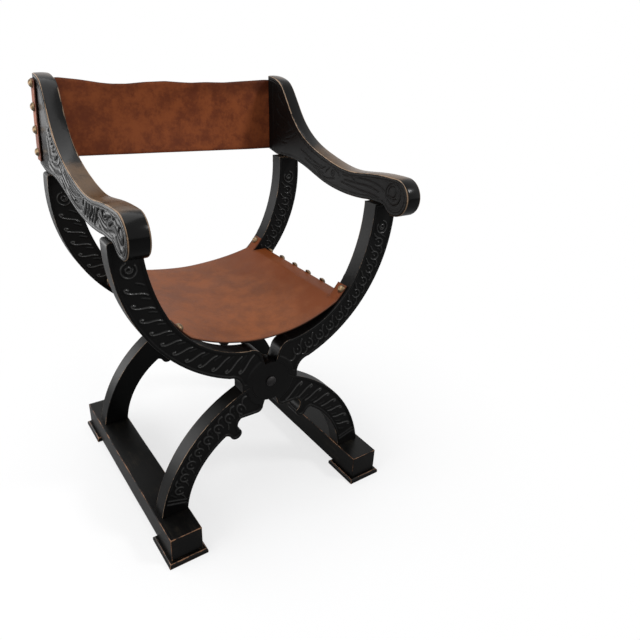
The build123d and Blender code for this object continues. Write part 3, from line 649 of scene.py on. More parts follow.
# %% The four carved members
FRAME_EDGE, FRAME_GRID = 1.5, 1.15
for row, top in (("front", 444), ("rear", 472)):
    for name, side in (("left", -1), ("right", 1)):
        node = f"{row}_{name}_cross_member"
        bm = welded(node)
        form = frame_form(side, top, row == "front")
        fine = carve(bm, 1, -1, form, FRAME_EDGE, FRAME_GRID, disc_seam)
        carve(bm, 1, 1, plain_form, FRAME_EDGE, 6.0, disc_seam)
        finished(bm, f"{row}_{name}_carved_member", wood_upright, body_of[node], node)
        print(node, "carved with", fine, "triangles")

# %% [markdown]
# ## The arms' carving
#
# Each arm is carved with leaves that flow from the scroll in front to the upright: deeply outside,
# lightly inside. Here the knife has drawn single cuts, with the leaf swelling softly between them,
# so the pattern is a list of cuts in depth and height, in mm. A height map painted as an image
# would be quicker to draw, but would fix the pattern to one size and could not be read like this.

# %% Cuts in the arms
OUTER_CUTS = [
    [(-221, 643), (-230, 627), (-243, 620), (-257, 628), (-263, 645), (-259, 662), (-248, 672),
     (-232, 676)],
    [(-224, 656), (-232, 643), (-243, 636), (-253, 644), (-254, 656), (-246, 664), (-236, 661),
     (-236, 653)],
    [(-204, 669), (-190, 664), (-179, 656), (-167, 654), (-160, 661), (-165, 669), (-176, 668)],
    [(-216, 648), (-198, 646), (-180, 640), (-160, 640), (-146, 648)],
    [(-212, 661), (-201, 657), (-191, 651)], [(-205, 637), (-185, 632), (-160, 632), (-140, 637)],
    [(-150, 668), (-138, 662), (-131, 651), (-134, 641)],
    [(-50, 640), (-22, 637), (10, 645), (40, 659), (66, 673)],
    [(-46, 662), (-20, 656), (5, 657), (30, 667), (52, 680)],
    [(14, 669), (26, 678), (42, 686)], [(30, 674), (42, 682), (56, 694)],
    [(142, 737), (129, 742), (117, 749), (109, 758)], [(135, 728), (122, 731), (111, 737), (103, 747)],
    [(127, 716), (115, 718), (104, 723), (96, 733)], [(121, 704), (108, 705), (97, 709), (89, 719)],
    [(113, 691), (100, 692), (90, 696), (81, 706)],
    [(132, 684), (116, 680), (100, 681), (84, 686), (73, 695)],
    [(152, 676), (130, 671), (108, 668), (86, 669), (64, 675)], [(150, 722), (144, 706), (142, 690)],
    [(-130, 669), (-119, 664), (-107, 667)], [(-48, 634), (-20, 631), (12, 637), (44, 651), (70, 664)],
    [(-32, 651), (0, 650), (25, 658)], [(-217, 668), (-206, 674), (-188, 675)],
    [(62, 685), (71, 694), (77, 707)],
    [(66, 677), (78, 685), (90, 684)], [(-178, 648), (-160, 650), (-148, 657)],
    [(-185, 660), (-178, 663), (-171, 659)],
    [(-230, 664), (-222, 670), (-212, 667)], [(134, 750), (128, 758), (124, 768)],
    [(-140, 650), (-126, 646), (-116, 636)],
]
OUTER_CUTS += [[(y, 632), (y - 9, 642), (y - 20, 652), (y - 27, 664)] for y in (-58, -72, -86, -99, -112)]
OUTER_CUTS += [[(y, 637), (y - 6, 646), (y - 14, 653)] for y in (-65, -79, -92, -105)]
OUTER_GOUGES = [
    [(-238, 626), (-230, 634)], [(-240, 651), (-236, 655)], [(-163, 658), (-167, 665)],
    [(-9, 646), (-27, 648)],
    [(-60, 652), (-68, 661)], [(-101, 645), (-114, 658)], [(-73, 640), (-80, 650)], [(22, 677), (32, 681)],
    [(140, 738), (122, 746)], [(112, 713), (102, 718)], [(100, 693), (92, 699)], [(36, 684), (44, 690)],
    [(-124, 642), (-130, 652)], [(-88, 638), (-94, 648)], [(118, 726), (110, 730)], [(86, 700), (80, 708)],
]
INNER_CUTS = [
    [(-206, 633), (-224, 622), (-246, 622), (-262, 634), (-268, 652), (-262, 670), (-246, 679)],
    ring(-232, 654, 20.5), ring(-229, 658, 10.5),
    [(88, 686), (40, 669), (0, 661)], [(-74, 660), (-110, 663), (-150, 666), (-186, 664), (-207, 655)],
    [(72, 669), (30, 655), (-4, 648)], [(-70, 644), (-120, 641), (-170, 641), (-200, 636)],
    [(40, 660), (12, 657), (-10, 664)], [(-80, 651), (-120, 652), (-160, 655), (-190, 650)],
    [(-96, 668), (-108, 660), (-118, 652)], [(20, 650), (4, 642), (-20, 641), (-44, 646)],
    ring(-38, 656, 6.0), [(-62, 655), (-53, 663), (-44, 665)], [(-26, 664), (-17, 660), (-12, 653)],
    [(209, 696), (209, 815)], [(192, 702), (173, 692), (148, 690)],
    [(152, 700), (132, 704), (116, 712), (102, 722)],
    [(150, 712), (136, 716), (124, 725), (112, 725)], [(142, 738), (134, 731), (124, 728)],
    [(186, 792), (174, 781), (160, 771)], [(192, 762), (178, 749), (158, 743)],
    [(196, 732), (180, 722), (160, 722)],
]
INNER_GOUGES = [[(-240, 646), (-229, 643), (-219, 648)], [(-40, 655), (-36, 658)], [(172, 690), (160, 689)]]


def arm_form(cuts, gouges, deep, swelling, dullness):
    """The depth of an arm's side: single cuts, wider gouges and a border line. Beside each cut the
    leaf swells up again by a share of deep. An inner side is duller, as no hand polishes it, and
    its hollow number also makes it a little darker."""
    cuts, gouges = [softened(line) for line in cuts], [softened(line) for line in gouges]

    def form(points, edge):
        far = np.min([nearest(points, line)[0] for line in cuts], 0)
        wide = np.min([nearest(points, line)[0] for line in gouges], 0)
        cut = np.maximum(np.clip(1 - far / 1.7, 0, 1), np.clip(1 - wide / 3.2, 0, 1) ** 0.7)
        border = np.clip(1 - np.abs(edge - 7.2) / 1.5, 0, 1)
        field = smooth(edge, 8.4, 10.5)
        swell = smooth(far, 1.0, 7.0)
        lines = np.maximum(cut * field, 0.75 * border)
        depth = deep * (lines + field * (swelling * (1 - swell) + 0.14))
        hollow = np.clip(np.maximum(cut * field, border) * 1.25, dullness * smooth(edge, 1, 4), 1)
        return depth, np.clip(1 - edge / 1.9, 0, 1), hollow

    return form


print("cuts drawn:", len(OUTER_CUTS) + len(INNER_CUTS))

# %% [markdown]
# An arm tapers towards the back, and its upright leans in. So each arm is stretched to an even
# thickness, carved, crowned on top as if by years of forearms, and then brought back and leaned.

# %% The arms
SCROLL_Y, TAIL_Y = -235.35, 230.15
THICK, THIN = 35.6, 30.6
LEAN = {"left": 10.0, "right": 6.0}
CROWN = 1.5
ARM_EDGE = 2.4


def taper(y):
    """An arm's thickness at this depth, as a share of its thickness at the scroll."""
    return 1 - (1 - THIN / THICK) * np.clip((y - SCROLL_Y) / (TAIL_Y - SCROLL_Y), 0, 1)


def lean(name, y, z):
    """How far in towards the sitter a point of an upright leans, in mm."""
    return LEAN[name] * np.clip((z - 650) / 178, 0, 1.2) ** 1.3 * smooth(y, -60, 60)


def crowned(bm, middle, half):
    """Rounds the top of an arm across its width, and marks where forearms rub it."""
    bm.normal_update()
    rubbed = bm.verts.layers.float["rubbed"]
    moves = []
    for v in bm.verts:
        across = (v.co.x / mm - middle) / half
        if abs(across) > 0.93 or abs(v.normal.x) > 0.5:
            continue
        n = Vector((0, v.normal.y, v.normal.z)).normalized()
        share = smooth(n.z - 0.4 * n.y, 0.15, 0.6)
        moves.append((v, v.co + n * share * CROWN * mm * (1 - across**2)))
        y = v.co.y / mm
        palm = smooth(y, -262, -230) * (1 - smooth(y, 10, 95))
        v[rubbed] = smooth(n.z, 0.1, 0.7) * palm + 0.7 * smooth(y, 170, 205) * smooth(n.z, 0.5, 0.8)
    for v, place in moves:
        v.co = place


for name, side in (("left", -1), ("right", 1)):
    node = f"{name}_arm"
    bm = welded(node)
    outer = side * max(side * v.co.x for v in bm.verts)
    for v in bm.verts:
        v.co.x = outer - (outer - v.co.x) / taper(v.co.y / mm)
    low = min(outer, outer - side * THICK * mm)
    slice_across(bm, 0, [low + THICK * share * mm for share in (0.22, 0.36, 0.5, 0.64, 0.78)])
    fine = carve(bm, 0, side, arm_form(OUTER_CUTS, OUTER_GOUGES, 3.1, 0.42, 0.0), ARM_EDGE, 1.1)
    carve(bm, 0, -side, arm_form(INNER_CUTS, INNER_GOUGES, 1.2, 0.12, 0.75), ARM_EDGE, 1.25)
    crowned(bm, low / mm + THICK / 2, THICK / 2)
    for v in bm.verts:
        y, z = v.co.y / mm, v.co.z / mm
        v.co.x = outer - (outer - v.co.x) * taper(y) - side * lean(name, y, z) * mm
    finished(bm, f"{name}_carved_arm", wood_arm, body_of[node], node)
    print(node, "carved with", fine, "triangles")

# %% [markdown]
# ## Runners and pads
#
# The runners are plain squared timber, and what makes them look old is their edges: rounded by
# hand, knocked and worn brown. A bevelled cube would do for the shape, but the wear needs points
# near the edges, so each block is woven from six grids and pulled onto a rounded box.

# %% Rounded blocks
def block(name, low, high, radius, bevel, node, body):
    """A rounded block between two corners in mm, whose top edges may be bevelled."""
    low, high = np.array(low), np.array(high)
    bm = bmesh.new()
    wear = bm.verts.layers.float.new("wear")
    bm.verts.layers.float.new("hollow")
    edge = np.array([0, 0.134 * radius, 0.5 * radius, radius, 3.0, 5.0])
    steps = []
    for a, b in zip(low, high):
        between = np.linspace(a + 6, b - 6, max(2, int((b - a) / 9))) if b - a > 16 else [(a + b) / 2]
        steps.append(np.concatenate([a + edge, between, (b - edge)[::-1]]))
    for axis in range(3):
        a, b = [i for i in range(3) if i != axis]
        for end in (low[axis], high[axis]):
            grid = {}
            for i, p in enumerate(steps[a]):
                for j, q in enumerate(steps[b]):
                    place = np.zeros(3)
                    place[a], place[b], place[axis] = p, q, end
                    core = np.clip(place, low + radius, high - radius)
                    out = place - core
                    place = core + out * radius / max(np.linalg.norm(out), 1e-9)
                    gaps = np.sort(np.minimum(place - low, high - place))
                    worn = np.clip(1 - gaps[1] / 3.2, 0, 1)
                    if bevel:
                        pull = np.clip(place[2] - (high[2] - bevel), 0, bevel)
                        for k in (0, 1):
                            place[k] = np.clip(place[k], low[k] + pull, high[k] - pull)
                    sway = noise.noise_vector(Vector(place) * 0.012) * 0.35
                    dent = noise.noise(Vector(place) * 0.09)
                    place = Vector(place) + sway
                    place.z = max(place.z, low[2])
                    v = bm.verts.new(place * mm)
                    v[wear] = worn * (1 + 0.3 * dent)
                    grid[i, j] = v
            for i in range(len(steps[a]) - 1):
                for j in range(len(steps[b]) - 1):
                    bm.faces.new([grid[i, j], grid[i + 1, j], grid[i + 1, j + 1], grid[i, j + 1]])
    bmesh.ops.remove_doubles(bm, verts=bm.verts, dist=2e-5)
    return finished(bm, name, wood_along, body, node)


for name in ("left", "right"):
    node = f"{name}_runner"
    low, high = (np.array(corner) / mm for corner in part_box(node))
    block(f"{name}_worn_runner", low, high, 1.8, 0, node, body_of[node])
    for row in ("front", "rear"):
        node = f"{name}_runner_{row}_pad"
        low, high = (np.array(corner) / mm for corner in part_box(node))
        block(f"{name}_worn_{row}_pad", low, high - [0, 0, 0.15], 0.9, 3.6, node, body_of[node])
print("runners and pads worn in")

# %% [markdown]
# ## Leather
#
# Saddle leather is dyed cognac brown. It is darker at given parts of each sheet, and its surface
# has pores, fine creases and scuffs. The colour is mixed from clouds of three sizes. The bump is a
# cell pattern for the grain under soft creases. Cut edges are nearly black.

# %% Two leathers
def leather(name, light, middle, dark, shade, contrast):
    """shade is a function of place that says where the leather is darkest, from 0 to 1."""
    made, place, surface = material(name)
    broad = cloud(place, 9, 4, 0.6)
    mottle = cloud(place, 30, 5, 0.65)
    stains = cloud(place, 17, 5, 0.62)
    fine = cloud(place, 190, 3, 0.65)
    edge = mark(place, "wear")
    tone = (broad * 0.7 + mottle * 1.2 + fine * 0.35 - 1.125).within(-contrast, contrast)
    body = tone.mixed(middle, light)
    # a darker tone over the parts that shade() gives, broken up by stains
    dark_share = (shade(place) + stains * 1.3 - 0.75).within(0.0, 0.75)
    cells = {"Vector": place, "Scale": 620.0}
    pores = place.node("ShaderNodeTexVoronoi", {"feature": "DISTANCE_TO_EDGE"}, cells).within(0.0, 0.22)
    creases = cloud(place.stretched(90.0, 260.0, 90.0), 1.0, 3, 0.6)
    surface(
        Base_Color=(edge * 0.9).mixed(dark_share.mixed(body, dark), (0.030, 0.012, 0.007)),
        Roughness=0.44 + mottle * 0.16 - dark_share * 0.05,
        Specular_IOR_Level=0.13,
        Normal=bumped(pores * 0.35 + creases * 0.35 + fine * 0.3, 0.00035, 0.55),
    )
    return made


def seat_shade(place):
    """The seat is darker and more orange at its right and rear."""
    return place.part(0).within(0.0, 0.17) * 0.85 + place.part(1).within(0.06, 0.2) * 0.35 - 0.12


def back_shade(place):
    """The back is darker along its top and at its right."""
    return place.part(2).within(0.760, 0.815) * 0.46 + place.part(0).within(0.02, 0.26) * 0.28 - 0.12


seat_tones = (0.222, 0.072, 0.027), (0.147, 0.049, 0.021), (0.142, 0.034, 0.007)
back_tones = (0.295, 0.079, 0.025), (0.160, 0.039, 0.015), (0.072, 0.016, 0.006)
seat_skin = leather("saddle_leather_seat", *seat_tones, seat_shade, 0.26)
back_skin = leather("saddle_leather_back", *back_tones, back_shade, 0.22)
print("leathers:", seat_skin.name, back_skin.name)

# %% [markdown]
# ## The seat
#
# The seat is one sheet, slung between the rails. At the sides it goes over each rail and down its
# outer face, and at the corners it is slit, so that narrow ears run up between the limbs. Cloth
# simulation could make the sag, but nailed leather hangs as a plain curve, so the sheet is drawn
# row by row as a circle's arc and given its small waves and puckers. The thickness comes
# last: every point gets a twin below, and the open borders are joined.

# %% A sheet with thickness
def thick_sheet(name, patches, thickness, finish):
    """A closed piece of leather from grids of points in mm, which are joined where they meet."""
    bm = bmesh.new()
    wear = bm.verts.layers.float.new("wear")
    for grid in patches:
        verts = [[bm.verts.new(Vector(p) * mm) for p in row] for row in grid]
        for i in range(len(grid) - 1):
            for j in range(len(grid[0]) - 1):
                bm.faces.new([verts[i][j], verts[i][j + 1], verts[i + 1][j + 1], verts[i + 1][j]])
    bmesh.ops.remove_doubles(bm, verts=bm.verts, dist=2e-5)
    bmesh.ops.recalc_face_normals(bm, faces=bm.faces)
    bm.normal_update()
    border = {v for e in bm.edges if len(e.link_faces) == 1 for v in e.verts}
    rounding = {}
    for v in border:
        away = sum(((v.co - f.calc_center_median()).normalized() for f in v.link_faces), Vector())
        rounding[v] = (away - away.dot(v.normal) * v.normal).normalized()
    top, low = {}, {}
    for v in bm.verts[:]:
        if v in rounding:
            v[wear] = 1.0
        top[v] = v.co + v.normal * thickness / 2 * mm
        low[v] = v.co - v.normal * thickness / 2 * mm
    out = bmesh.new()
    mark = out.verts.layers.float.new("wear")
    made = {}

    def vert(key, place, value):
        made[key] = out.verts.new(place)
        made[key][mark] = value

    for v in bm.verts:
        inset = 0.35 * thickness * mm
        shift = rounding.get(v, Vector()) * inset
        vert((v, 1), top[v] - shift, 0.25 if v in border else 0.0)
        vert((v, -1), low[v] - shift, 0.25 if v in border else 0.0)
        if v in border:
            vert((v, 2), v.co + v.normal * thickness * 0.3 * mm, 1.0)
            vert((v, -2), v.co - v.normal * thickness * 0.3 * mm, 1.0)
    for f in bm.faces:
        out.faces.new([made[v, 1] for v in f.verts])
        out.faces.new([made[v, -1] for v in reversed(f.verts[:])])
    for e in bm.edges:
        if len(e.link_faces) == 1:
            a, b = e.verts
            for p, q in ((1, 2), (2, -2), (-2, -1)):
                out.faces.new([made[a, p], made[b, p], made[b, q], made[a, q]])
    bm.free()
    return finished(out, name, finish, None, None)


print("sheets ready")

# %% [markdown]
# The seat's measures come from the solids: the rails it hangs from, the frames it runs between and
# the limbs its ears lie against. Only the depth of its sag is a number of its own.

# %% The seat's rows
rail_low, rail_high = (np.array(c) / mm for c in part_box("right_seat_rail"))
seat_low, seat_high = (np.array(c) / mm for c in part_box("seat_leather"))
LEATHER = 3.0
sheet_z = rail_high[2] + 0.5 + LEATHER / 2
tenon = 15.0
frame_front, frame_back = rail_low[1] + tenon, rail_high[1] - tenon
slit_front, slit_back = frame_front + 2.0, frame_back - 2.0
rail_in, rail_out = rail_low[0], rail_high[0]
FRONT_SAG, REAR_SAG = 395.5, 413.0
ear_top = seat_high[2]


def sag_point(x, y):
    """Height of the slung leather, with the small waves that make it a hide and not a pipe."""
    t = np.clip((y - slit_front) / (slit_back - slit_front), 0, 1)
    lowest = FRONT_SAG + (REAR_SAG - FRONT_SAG) * t
    rise = sheet_z - lowest
    radius = (rail_in**2 + rise**2) / (2 * rise)
    z = lowest + radius - math.sqrt(radius**2 - x**2)
    calm = np.clip(1 - abs(x) / 150, 0, 1)
    wave = noise.noise(Vector((x * 0.011, y * 0.013, 3.0))) * 2.2 * calm
    front_roll = -1.6 * smooth(-y, -slit_front - 22, -slit_front + 16) * calm
    return z + wave + front_roll


def ear_point(y, height):
    """A point on a limb's inner edge, this high, where the leather lies against it."""
    (cx, cz), radius = LOWER_LIMB
    reach = radius - 0.5 - LEATHER / 2
    rise = height - PIVOT.z - cz
    return cx + math.sqrt(reach**2 - rise**2), height


def contact(y):
    """How far out the slung leather goes before it meets the limb, and how high."""
    xs = np.linspace(110, rail_in - 1, 200)
    for x in xs:
        z = sag_point(x, y)
        if ear_point(y, z)[0] <= x:
            return x, z
    return xs[-1], z


across = np.linspace(-1, 1, 61)
middle_rows, front_rows, back_rows = [], [], []
for y in np.linspace(slit_front, slit_back, 45):
    share = (y - slit_front) / (slit_back - slit_front)
    out = contact(slit_front)[0] * (1 - share) + contact(slit_back)[0] * share
    middle_rows.append([(x * out, y, sag_point(x * out, y)) for x in across])
front_edge, back_edge = seat_low[1], seat_high[1]
for y in np.linspace(front_edge, slit_front, 5):
    out = contact(slit_front)[0]
    front_rows.append([(x * out, y, sag_point(x * out, y)) for x in across])
for y in np.linspace(slit_back, back_edge, 5):
    out = contact(slit_back)[0]
    back_rows.append([(x * out, y, sag_point(x * out, y)) for x in across])
patches = [middle_rows, front_rows, back_rows]

for side in (-1, 1):
    flap = []
    for row in middle_rows:
        x0, y, _ = row[-1] if side == 1 else row[0]
        pull = 0.6 * noise.noise(Vector((y * 0.03, side * 5.0, 0.0)))
        line = []
        for t in np.linspace(0, 1, 7):
            x = abs(x0) + (rail_in - 1 - abs(x0)) * t
            line.append((side * x, y, sag_point(x, y)))
        turn_x, turn_z, bend = rail_out + 0.3 - 1.6, sheet_z - 3.2, 3.6
        line += [(side * x, y, sheet_z) for x in np.linspace(rail_in + 4, turn_x - 1, 5)]
        for a in np.linspace(15, 90, 5):
            a = math.radians(a)
            line.append((side * (turn_x - 0.4 + bend * math.sin(a)), y, turn_z - 0.4 + bend * math.cos(a)))
        foot = rail_high[2] - 20.0 + pull * 2
        line += [(side * (turn_x - 0.4 + bend), y, z) for z in np.linspace(turn_z - 3, foot, 5)]
        flap.append(line)
    patches.append(flap)
    for rows in (front_rows, back_rows):
        ear = []
        for row in rows:
            x0, y, z0 = row[-1] if side == 1 else row[0]
            line = [(x0, y, z0)]
            for height in np.linspace(z0, ear_top, 9)[1:]:
                x, z = ear_point(y, height)
                line.append((side * x, y, z))
            ear.append(line)
        patches.append(ear)

seat = thick_sheet("seat_hide", patches, LEATHER, seat_skin)
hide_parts("seat_leather")
print("seat:", len(seat.data.vertices), "points")

# %% [markdown]
# ## The back
#
# The back is a second sheet, stretched behind the uprights and folded round them onto the arms'
# outer faces, where four nails a side hold it. Its upper edge has stretched into a slow wave, and
# it bellies back a little where people lean. A grid bent round two corners is enough.

# %% The back's sheet
back_low, back_high = (np.array(c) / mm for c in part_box("back_leather"))
arm_low, arm_high = (np.array(c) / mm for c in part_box("right_arm"))
TOP_EDGE = np.array([
    (-281, 819), (-229, 820.5), (-190, 817), (-150, 811.5), (-128, 809.5), (-95, 809.5), (-55, 813),
    (-10, 815), (25, 813), (50, 812), (85, 813.5), (130, 813), (180, 816), (237, 819.5), (281, 819),
])
LOW_EDGE = np.array([(-281, 671), (-200, 672), (0, 668), (200, 664), (281, 664)])


def back_row(t):
    """Points of the sheet at a share t of its height, from one flap's edge to the other."""
    off = 0.4 + LEATHER / 2
    flap_y, fold_y, out_x, bend = back_low[1], arm_high[1] + off, arm_high[0] + off, 3.0
    plan = [(-out_x, y) for y in np.linspace(flap_y, fold_y - bend - 0.5, 6)]
    for a in np.radians((0, 22, 45, 68, 90)):
        plan.append((-out_x + bend - bend * math.cos(a), fold_y - bend + bend * math.sin(a)))
    plan += [(x, fold_y) for x in np.linspace(-out_x + 6, out_x - 6, 63)]
    plan += [(-x, y) for x, y in reversed(plan[:11])]
    row = []
    for x, y in plan:
        high = np.interp(x, *TOP_EDGE.T)
        low = np.interp(x, *LOW_EDGE.T)
        free = smooth(abs(x), 0, 250)
        belly = 7.0 * (1 - free) * math.sin(math.pi * t) if abs(x) < 250 else 0
        ripple = 1.3 * noise.noise(Vector((x * 0.016, t * 1.6, 8.0))) * (abs(x) < 246)
        flat = 1 - smooth(abs(x), 232, 250)
        z = low + (high - low) * t
        inward = lean("left" if x < 0 else "right", y, z) * x / out_x
        row.append((x - inward, y + max(0, belly + ripple * flat + 1.0 * flat), z))
    return row


upright_rows = [back_row(t) for t in np.linspace(0, 1, 24)]
back = thick_sheet("back_hide", [upright_rows], LEATHER, back_skin)
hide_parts("back_leather")
print("back:", len(back.data.vertices), "points")

# %% [markdown]
# ## Nails
#
# The heads are antique brass domes, 17 mm across, each a little different. The solids have
# their places: every nail is an island of its mesh. A head is turned from a profile with a thin
# rim, and knocked slightly out of true with noise that depends on its place.

# %% Brass heads
def brass(name):
    made, place, surface = material(name)
    patches = cloud(place, 160, 3, 0.6)
    fine = cloud(place, 900, 3, 0.6)
    dirt = (patches + fine * 0.4 - 0.66).within(0.0, 0.3)
    surface(
        Base_Color=dirt.mixed((0.19, 0.130, 0.075), (0.040, 0.028, 0.018)),
        Metallic=1.0 - dirt * 0.5,
        Roughness=0.30 + dirt * 0.3 + fine * 0.08,
        Normal=bumped(fine, 0.0003, 0.5),
    )
    return made


brass_finish = brass("aged_brass")


def islands(node):
    """The separate parts of a solid's mesh, as lists of points."""
    bm = bmesh.new()
    bm.from_mesh(frame["nodes"][node].data)
    bmesh.ops.remove_doubles(bm, verts=bm.verts, dist=2e-6)
    left, groups = set(bm.verts), []
    for first in bm.verts:
        if first not in left:
            continue
        left.remove(first)
        queue, group = [first], []
        while queue:
            v = queue.pop()
            group.append(v.co.copy())
            for e in v.link_edges:
                other = e.other_vert(v)
                if other in left:
                    left.remove(other)
                    queue.append(other)
        groups.append(np.array(group))
    bm.free()
    return groups


HEAD = [
    (0.0, 6.5), (1.9, 6.35), (3.8, 5.75), (5.6, 4.65), (7.0, 3.1), (7.75, 1.8), (8.4, 1.1), (8.55, 0.45),
    (8.2, -0.1), (6.4, 0.0),
]
SPOKES = 20
CORNER_NAIL_Z = 453.0
LIFT = Vector((0, 0, 0.0042))


def nail_heads(node, name, out, side, lift=Vector()):
    """Domed heads where a group of nails has its points. out is the nails' direction. The seat's
    nails have pulled up a little under load, by lift."""
    bm = bmesh.new()
    bm.verts.layers.float.new("wear")
    for group in islands(node):
        axis = Vector(out).normalized()
        tip = Vector(group[np.argmax(group @ np.array(axis))])
        centre = Vector(group.mean(0))
        base = centre + axis * (tip - centre).dot(axis) - axis * HEAD[0][1] * mm
        base += lift
        base.x -= side * lean("left" if side < 0 else "right", base.y / mm, base.z / mm) * mm
        turn = (axis + lift * 110).to_track_quat("Z", "Y").to_matrix()
        rows = []
        for r, h in HEAD:
            row = []
            for k in range(1 if r == 0 else SPOKES):
                a = 2 * math.pi * k / SPOKES
                p = Vector((r * math.cos(a), r * math.sin(a), h))
                knock = noise.noise(p * 0.25 + base * 900) * 0.22
                row.append(bm.verts.new(base + turn @ (p * (1 + knock * 0.25)) * mm))
            rows.append(row)
        for k in range(SPOKES):
            after = (k + 1) % SPOKES
            bm.faces.new([rows[0][0], rows[1][k], rows[1][after]])
            for upper, lower in zip(rows[1:-1], rows[2:]):
                bm.faces.new([upper[k], lower[k], lower[after], upper[after]])
        bm.faces.new(rows[-1])
    return finished(bm, name, brass_finish, body_of[node], node)


for name, side in (("left", -1), ("right", 1)):
    nail_heads(f"{name}_seat_nails", f"{name}_seat_nail_heads", (side, 0, 0), side, LIFT)
    nail_heads(f"{name}_back_nails", f"{name}_back_nail_heads", (side, 0, 0), side)
    (cx, cz), radius = LOWER_LIMB
    rise = (CORNER_NAIL_Z - PIVOT.z - cz) / radius
    slope = (-side * math.sqrt(1 - rise**2), 0, -rise)
    nail_heads(f"{name}_seat_corner_nails", f"{name}_corner_nail_heads", slope, side)
print("nails set")

# %% [markdown]
# ## What keeps its solid
#
# The seat rails, pivot pins, washers, screws and dowels are right as they are, and need only a
# finish. The pins' heads are iron, painted over with the frames' black.

# %% Finishes for the other solids
def iron(name, colour, rough):
    made, place, surface = material(name)
    patches = cloud(place, 140, 4, 0.6)
    surface(
        Base_Color=patches.mixed(colour, tuple(c * 1.9 for c in colour)),
        Metallic=0.55,
        Roughness=rough + patches * 0.18,
        Normal=bumped(patches, 0.0004, 0.5),
    )
    return made


black_iron = iron("blackened_iron", (0.010, 0.009, 0.009), 0.26)
steel = iron("steel_screws", (0.30, 0.30, 0.31), 0.3)


def beech():
    made, place, surface = material("beech_dowels")
    grain = cloud(place.stretched(500.0, 500.0, 30.0), 1.0, 4, 0.6)
    surface(
        Base_Color=grain.mixed((0.42, 0.27, 0.15), (0.56, 0.40, 0.25)),
        Roughness=0.6 + grain * 0.1,
        Normal=bumped(grain, 0.0003, 0.5),
    )
    return made


beech_finish = beech()
for node, obj in frame["nodes"].items():
    if "pivot" in node:
        finish = black_iron
    elif "screws" in node:
        finish = steel
    elif "dowels" in node:
        finish = beech_finish
    else:
        finish = wood_along
    obj.data.materials.clear()
    obj.data.materials.append(finish)
print("finishes given to", len(frame["nodes"]), "solids")

# %% [markdown]
# ## Floor and light
#
# The floor and the world look white to the camera, and in the metal, but the light that falls on
# the chair comes from lamps: a wide one overhead, one at the left, a screen low down behind on the
# left, which picks out the carving, and a small one in front on the right, for a highlight. The
# floor keeps the chair's soft shadow near it, and glows an even white further off. In the black
# wood it is reflected dimly.

# %% Floor
def rays(tree):
    """Wires that say whether a ray is the camera's, passes through glass or comes off a shine."""
    path = tree.nodes.new("ShaderNodeLightPath").outputs
    names = "Is Camera Ray", "Is Transmission Ray", "Is Glossy Ray"
    return [Wire(tree, path[name]) for name in names]


floor_mesh = bpy.data.meshes.new("floor")
floor_mesh.from_pydata([(-6, -6, 0), (6, -6, 0), (6, 6, 0), (-6, 6, 0)], [], [(0, 1, 2, 3)])
floor = bpy.data.objects.new("floor", floor_mesh)
bpy.context.collection.objects.link(floor)
floor_paint = bpy.data.materials.new("white_floor")
floor_paint.use_nodes = True
tree = floor_paint.node_tree
camera_ray, clear_ray, glossy_ray = rays(tree)
spot = Wire(tree, tree.nodes.new("ShaderNodeTexCoord").outputs["Object"])
distance = spot.node("ShaderNodeVectorMath", {"operation": "LENGTH"}, {0: spot}, out=1)
far_off = distance.within(0.25, 0.85)
plain = spot.node("ShaderNodeBsdfDiffuse", {}, {"Color": (0.30, 0.30, 0.30)})
pale = spot.node("ShaderNodeBsdfDiffuse", {}, {"Color": (0.93, 0.93, 0.93)})
glow = spot.node("ShaderNodeEmission", {}, {"Color": (1.0, 1.0, 1.0), "Strength": 1.0})
seen = spot.node("ShaderNodeMixShader", {}, {0: 0.68 + far_off * 0.32, 1: pale, 2: glow})
share = camera_ray + clear_ray + glossy_ray * 0.12
both = spot.node("ShaderNodeMixShader", {}, {0: share, 1: plain, 2: seen})
tree.links.new(both.socket, tree.nodes["Material Output"].inputs["Surface"])
floor_mesh.materials.append(floor_paint)
print("floor laid")

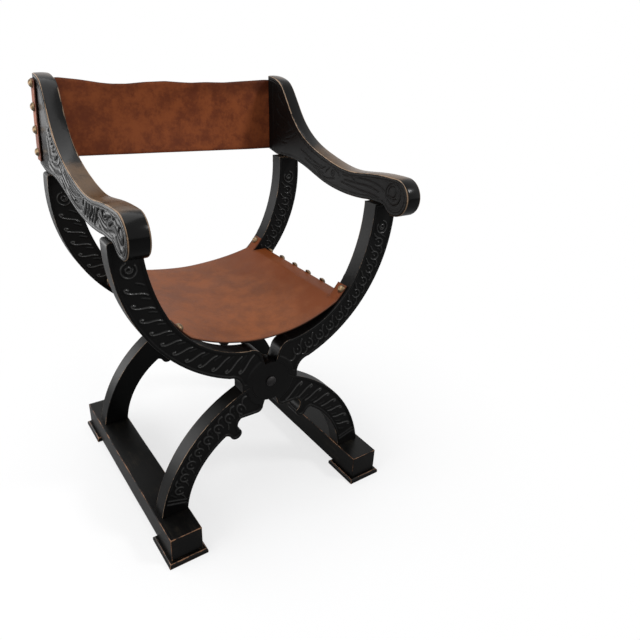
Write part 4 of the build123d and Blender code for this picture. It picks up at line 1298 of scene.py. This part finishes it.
# %% [markdown]
# The world could light the chair alone, but then black wood would look flat. It stays dim, and
# lamps of different sizes give the wood its soft sheen and its small highlights.

# %% World and lamps
world = bpy.data.worlds.new("studio")
bpy.context.scene.world = world
world.use_nodes = True
tree = world.node_tree
camera_ray, clear_ray, glossy_ray = rays(tree)
backdrop = camera_ray.node("ShaderNodeBackground", {}, {"Color": (1.0, 1.0, 1.0), "Strength": 1.0})
light = camera_ray.node("ShaderNodeBackground", {}, {"Color": (0.95, 0.97, 1.0), "Strength": 0.3})
shown = camera_ray + clear_ray + glossy_ray
both = camera_ray.node("ShaderNodeMixShader", {}, {0: shown, 1: light, 2: backdrop})
tree.links.new(both.socket, tree.nodes["World Output"].inputs["Surface"])


def lamp(name, place, target, size, power):
    data = bpy.data.lights.new(name, "AREA")
    data.shape, data.size, data.size_y = "RECTANGLE", *size
    data.energy = power
    obj = bpy.data.objects.new(name, data)
    obj.visible_camera = False
    aim = Vector(place) - Vector(target)
    obj.matrix_world = Matrix.Translation(place) @ aim.to_track_quat("Z", "Y").to_matrix().to_4x4()
    bpy.context.collection.objects.link(obj)


lamp("overhead", (-0.3, 0.25, 2.5), (0, 0, 0.4), (2.2, 2.0), 36)
lamp("left_window", (-2.3, -0.2, 1.3), (0, 0, 0.45), (1.8, 1.6), 26)
lamp("low_screen", (-1.5, 1.3, 0.35), (-0.1, 0, 0.5), (1.7, 1.3), 22)
lamp("front_fill", (1.6, -1.8, 2.3), (0, 0, 0.6), (0.5, 0.35), 28)
bpy.context.scene.view_settings.view_transform = "Standard"
print("lamps lit")

# %% [markdown]
# ## What moves
#
# Each piece of timber rides on its own half of the chair. The leathers cross the fold: their left
# edges follow one half and their right edges the other, and the middle turns smoothly between.

# %% Blend the leathers and finish
left_half, right_half = body_of["left_arm"], body_of["right_arm"]
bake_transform(seat, left_half, right_half, start=(-0.165, 0, 0.44), end=(0.165, 0, 0.44))
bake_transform(back, left_half, right_half, start=(-0.245, 0.23, 0.74), end=(0.245, 0.23, 0.74))
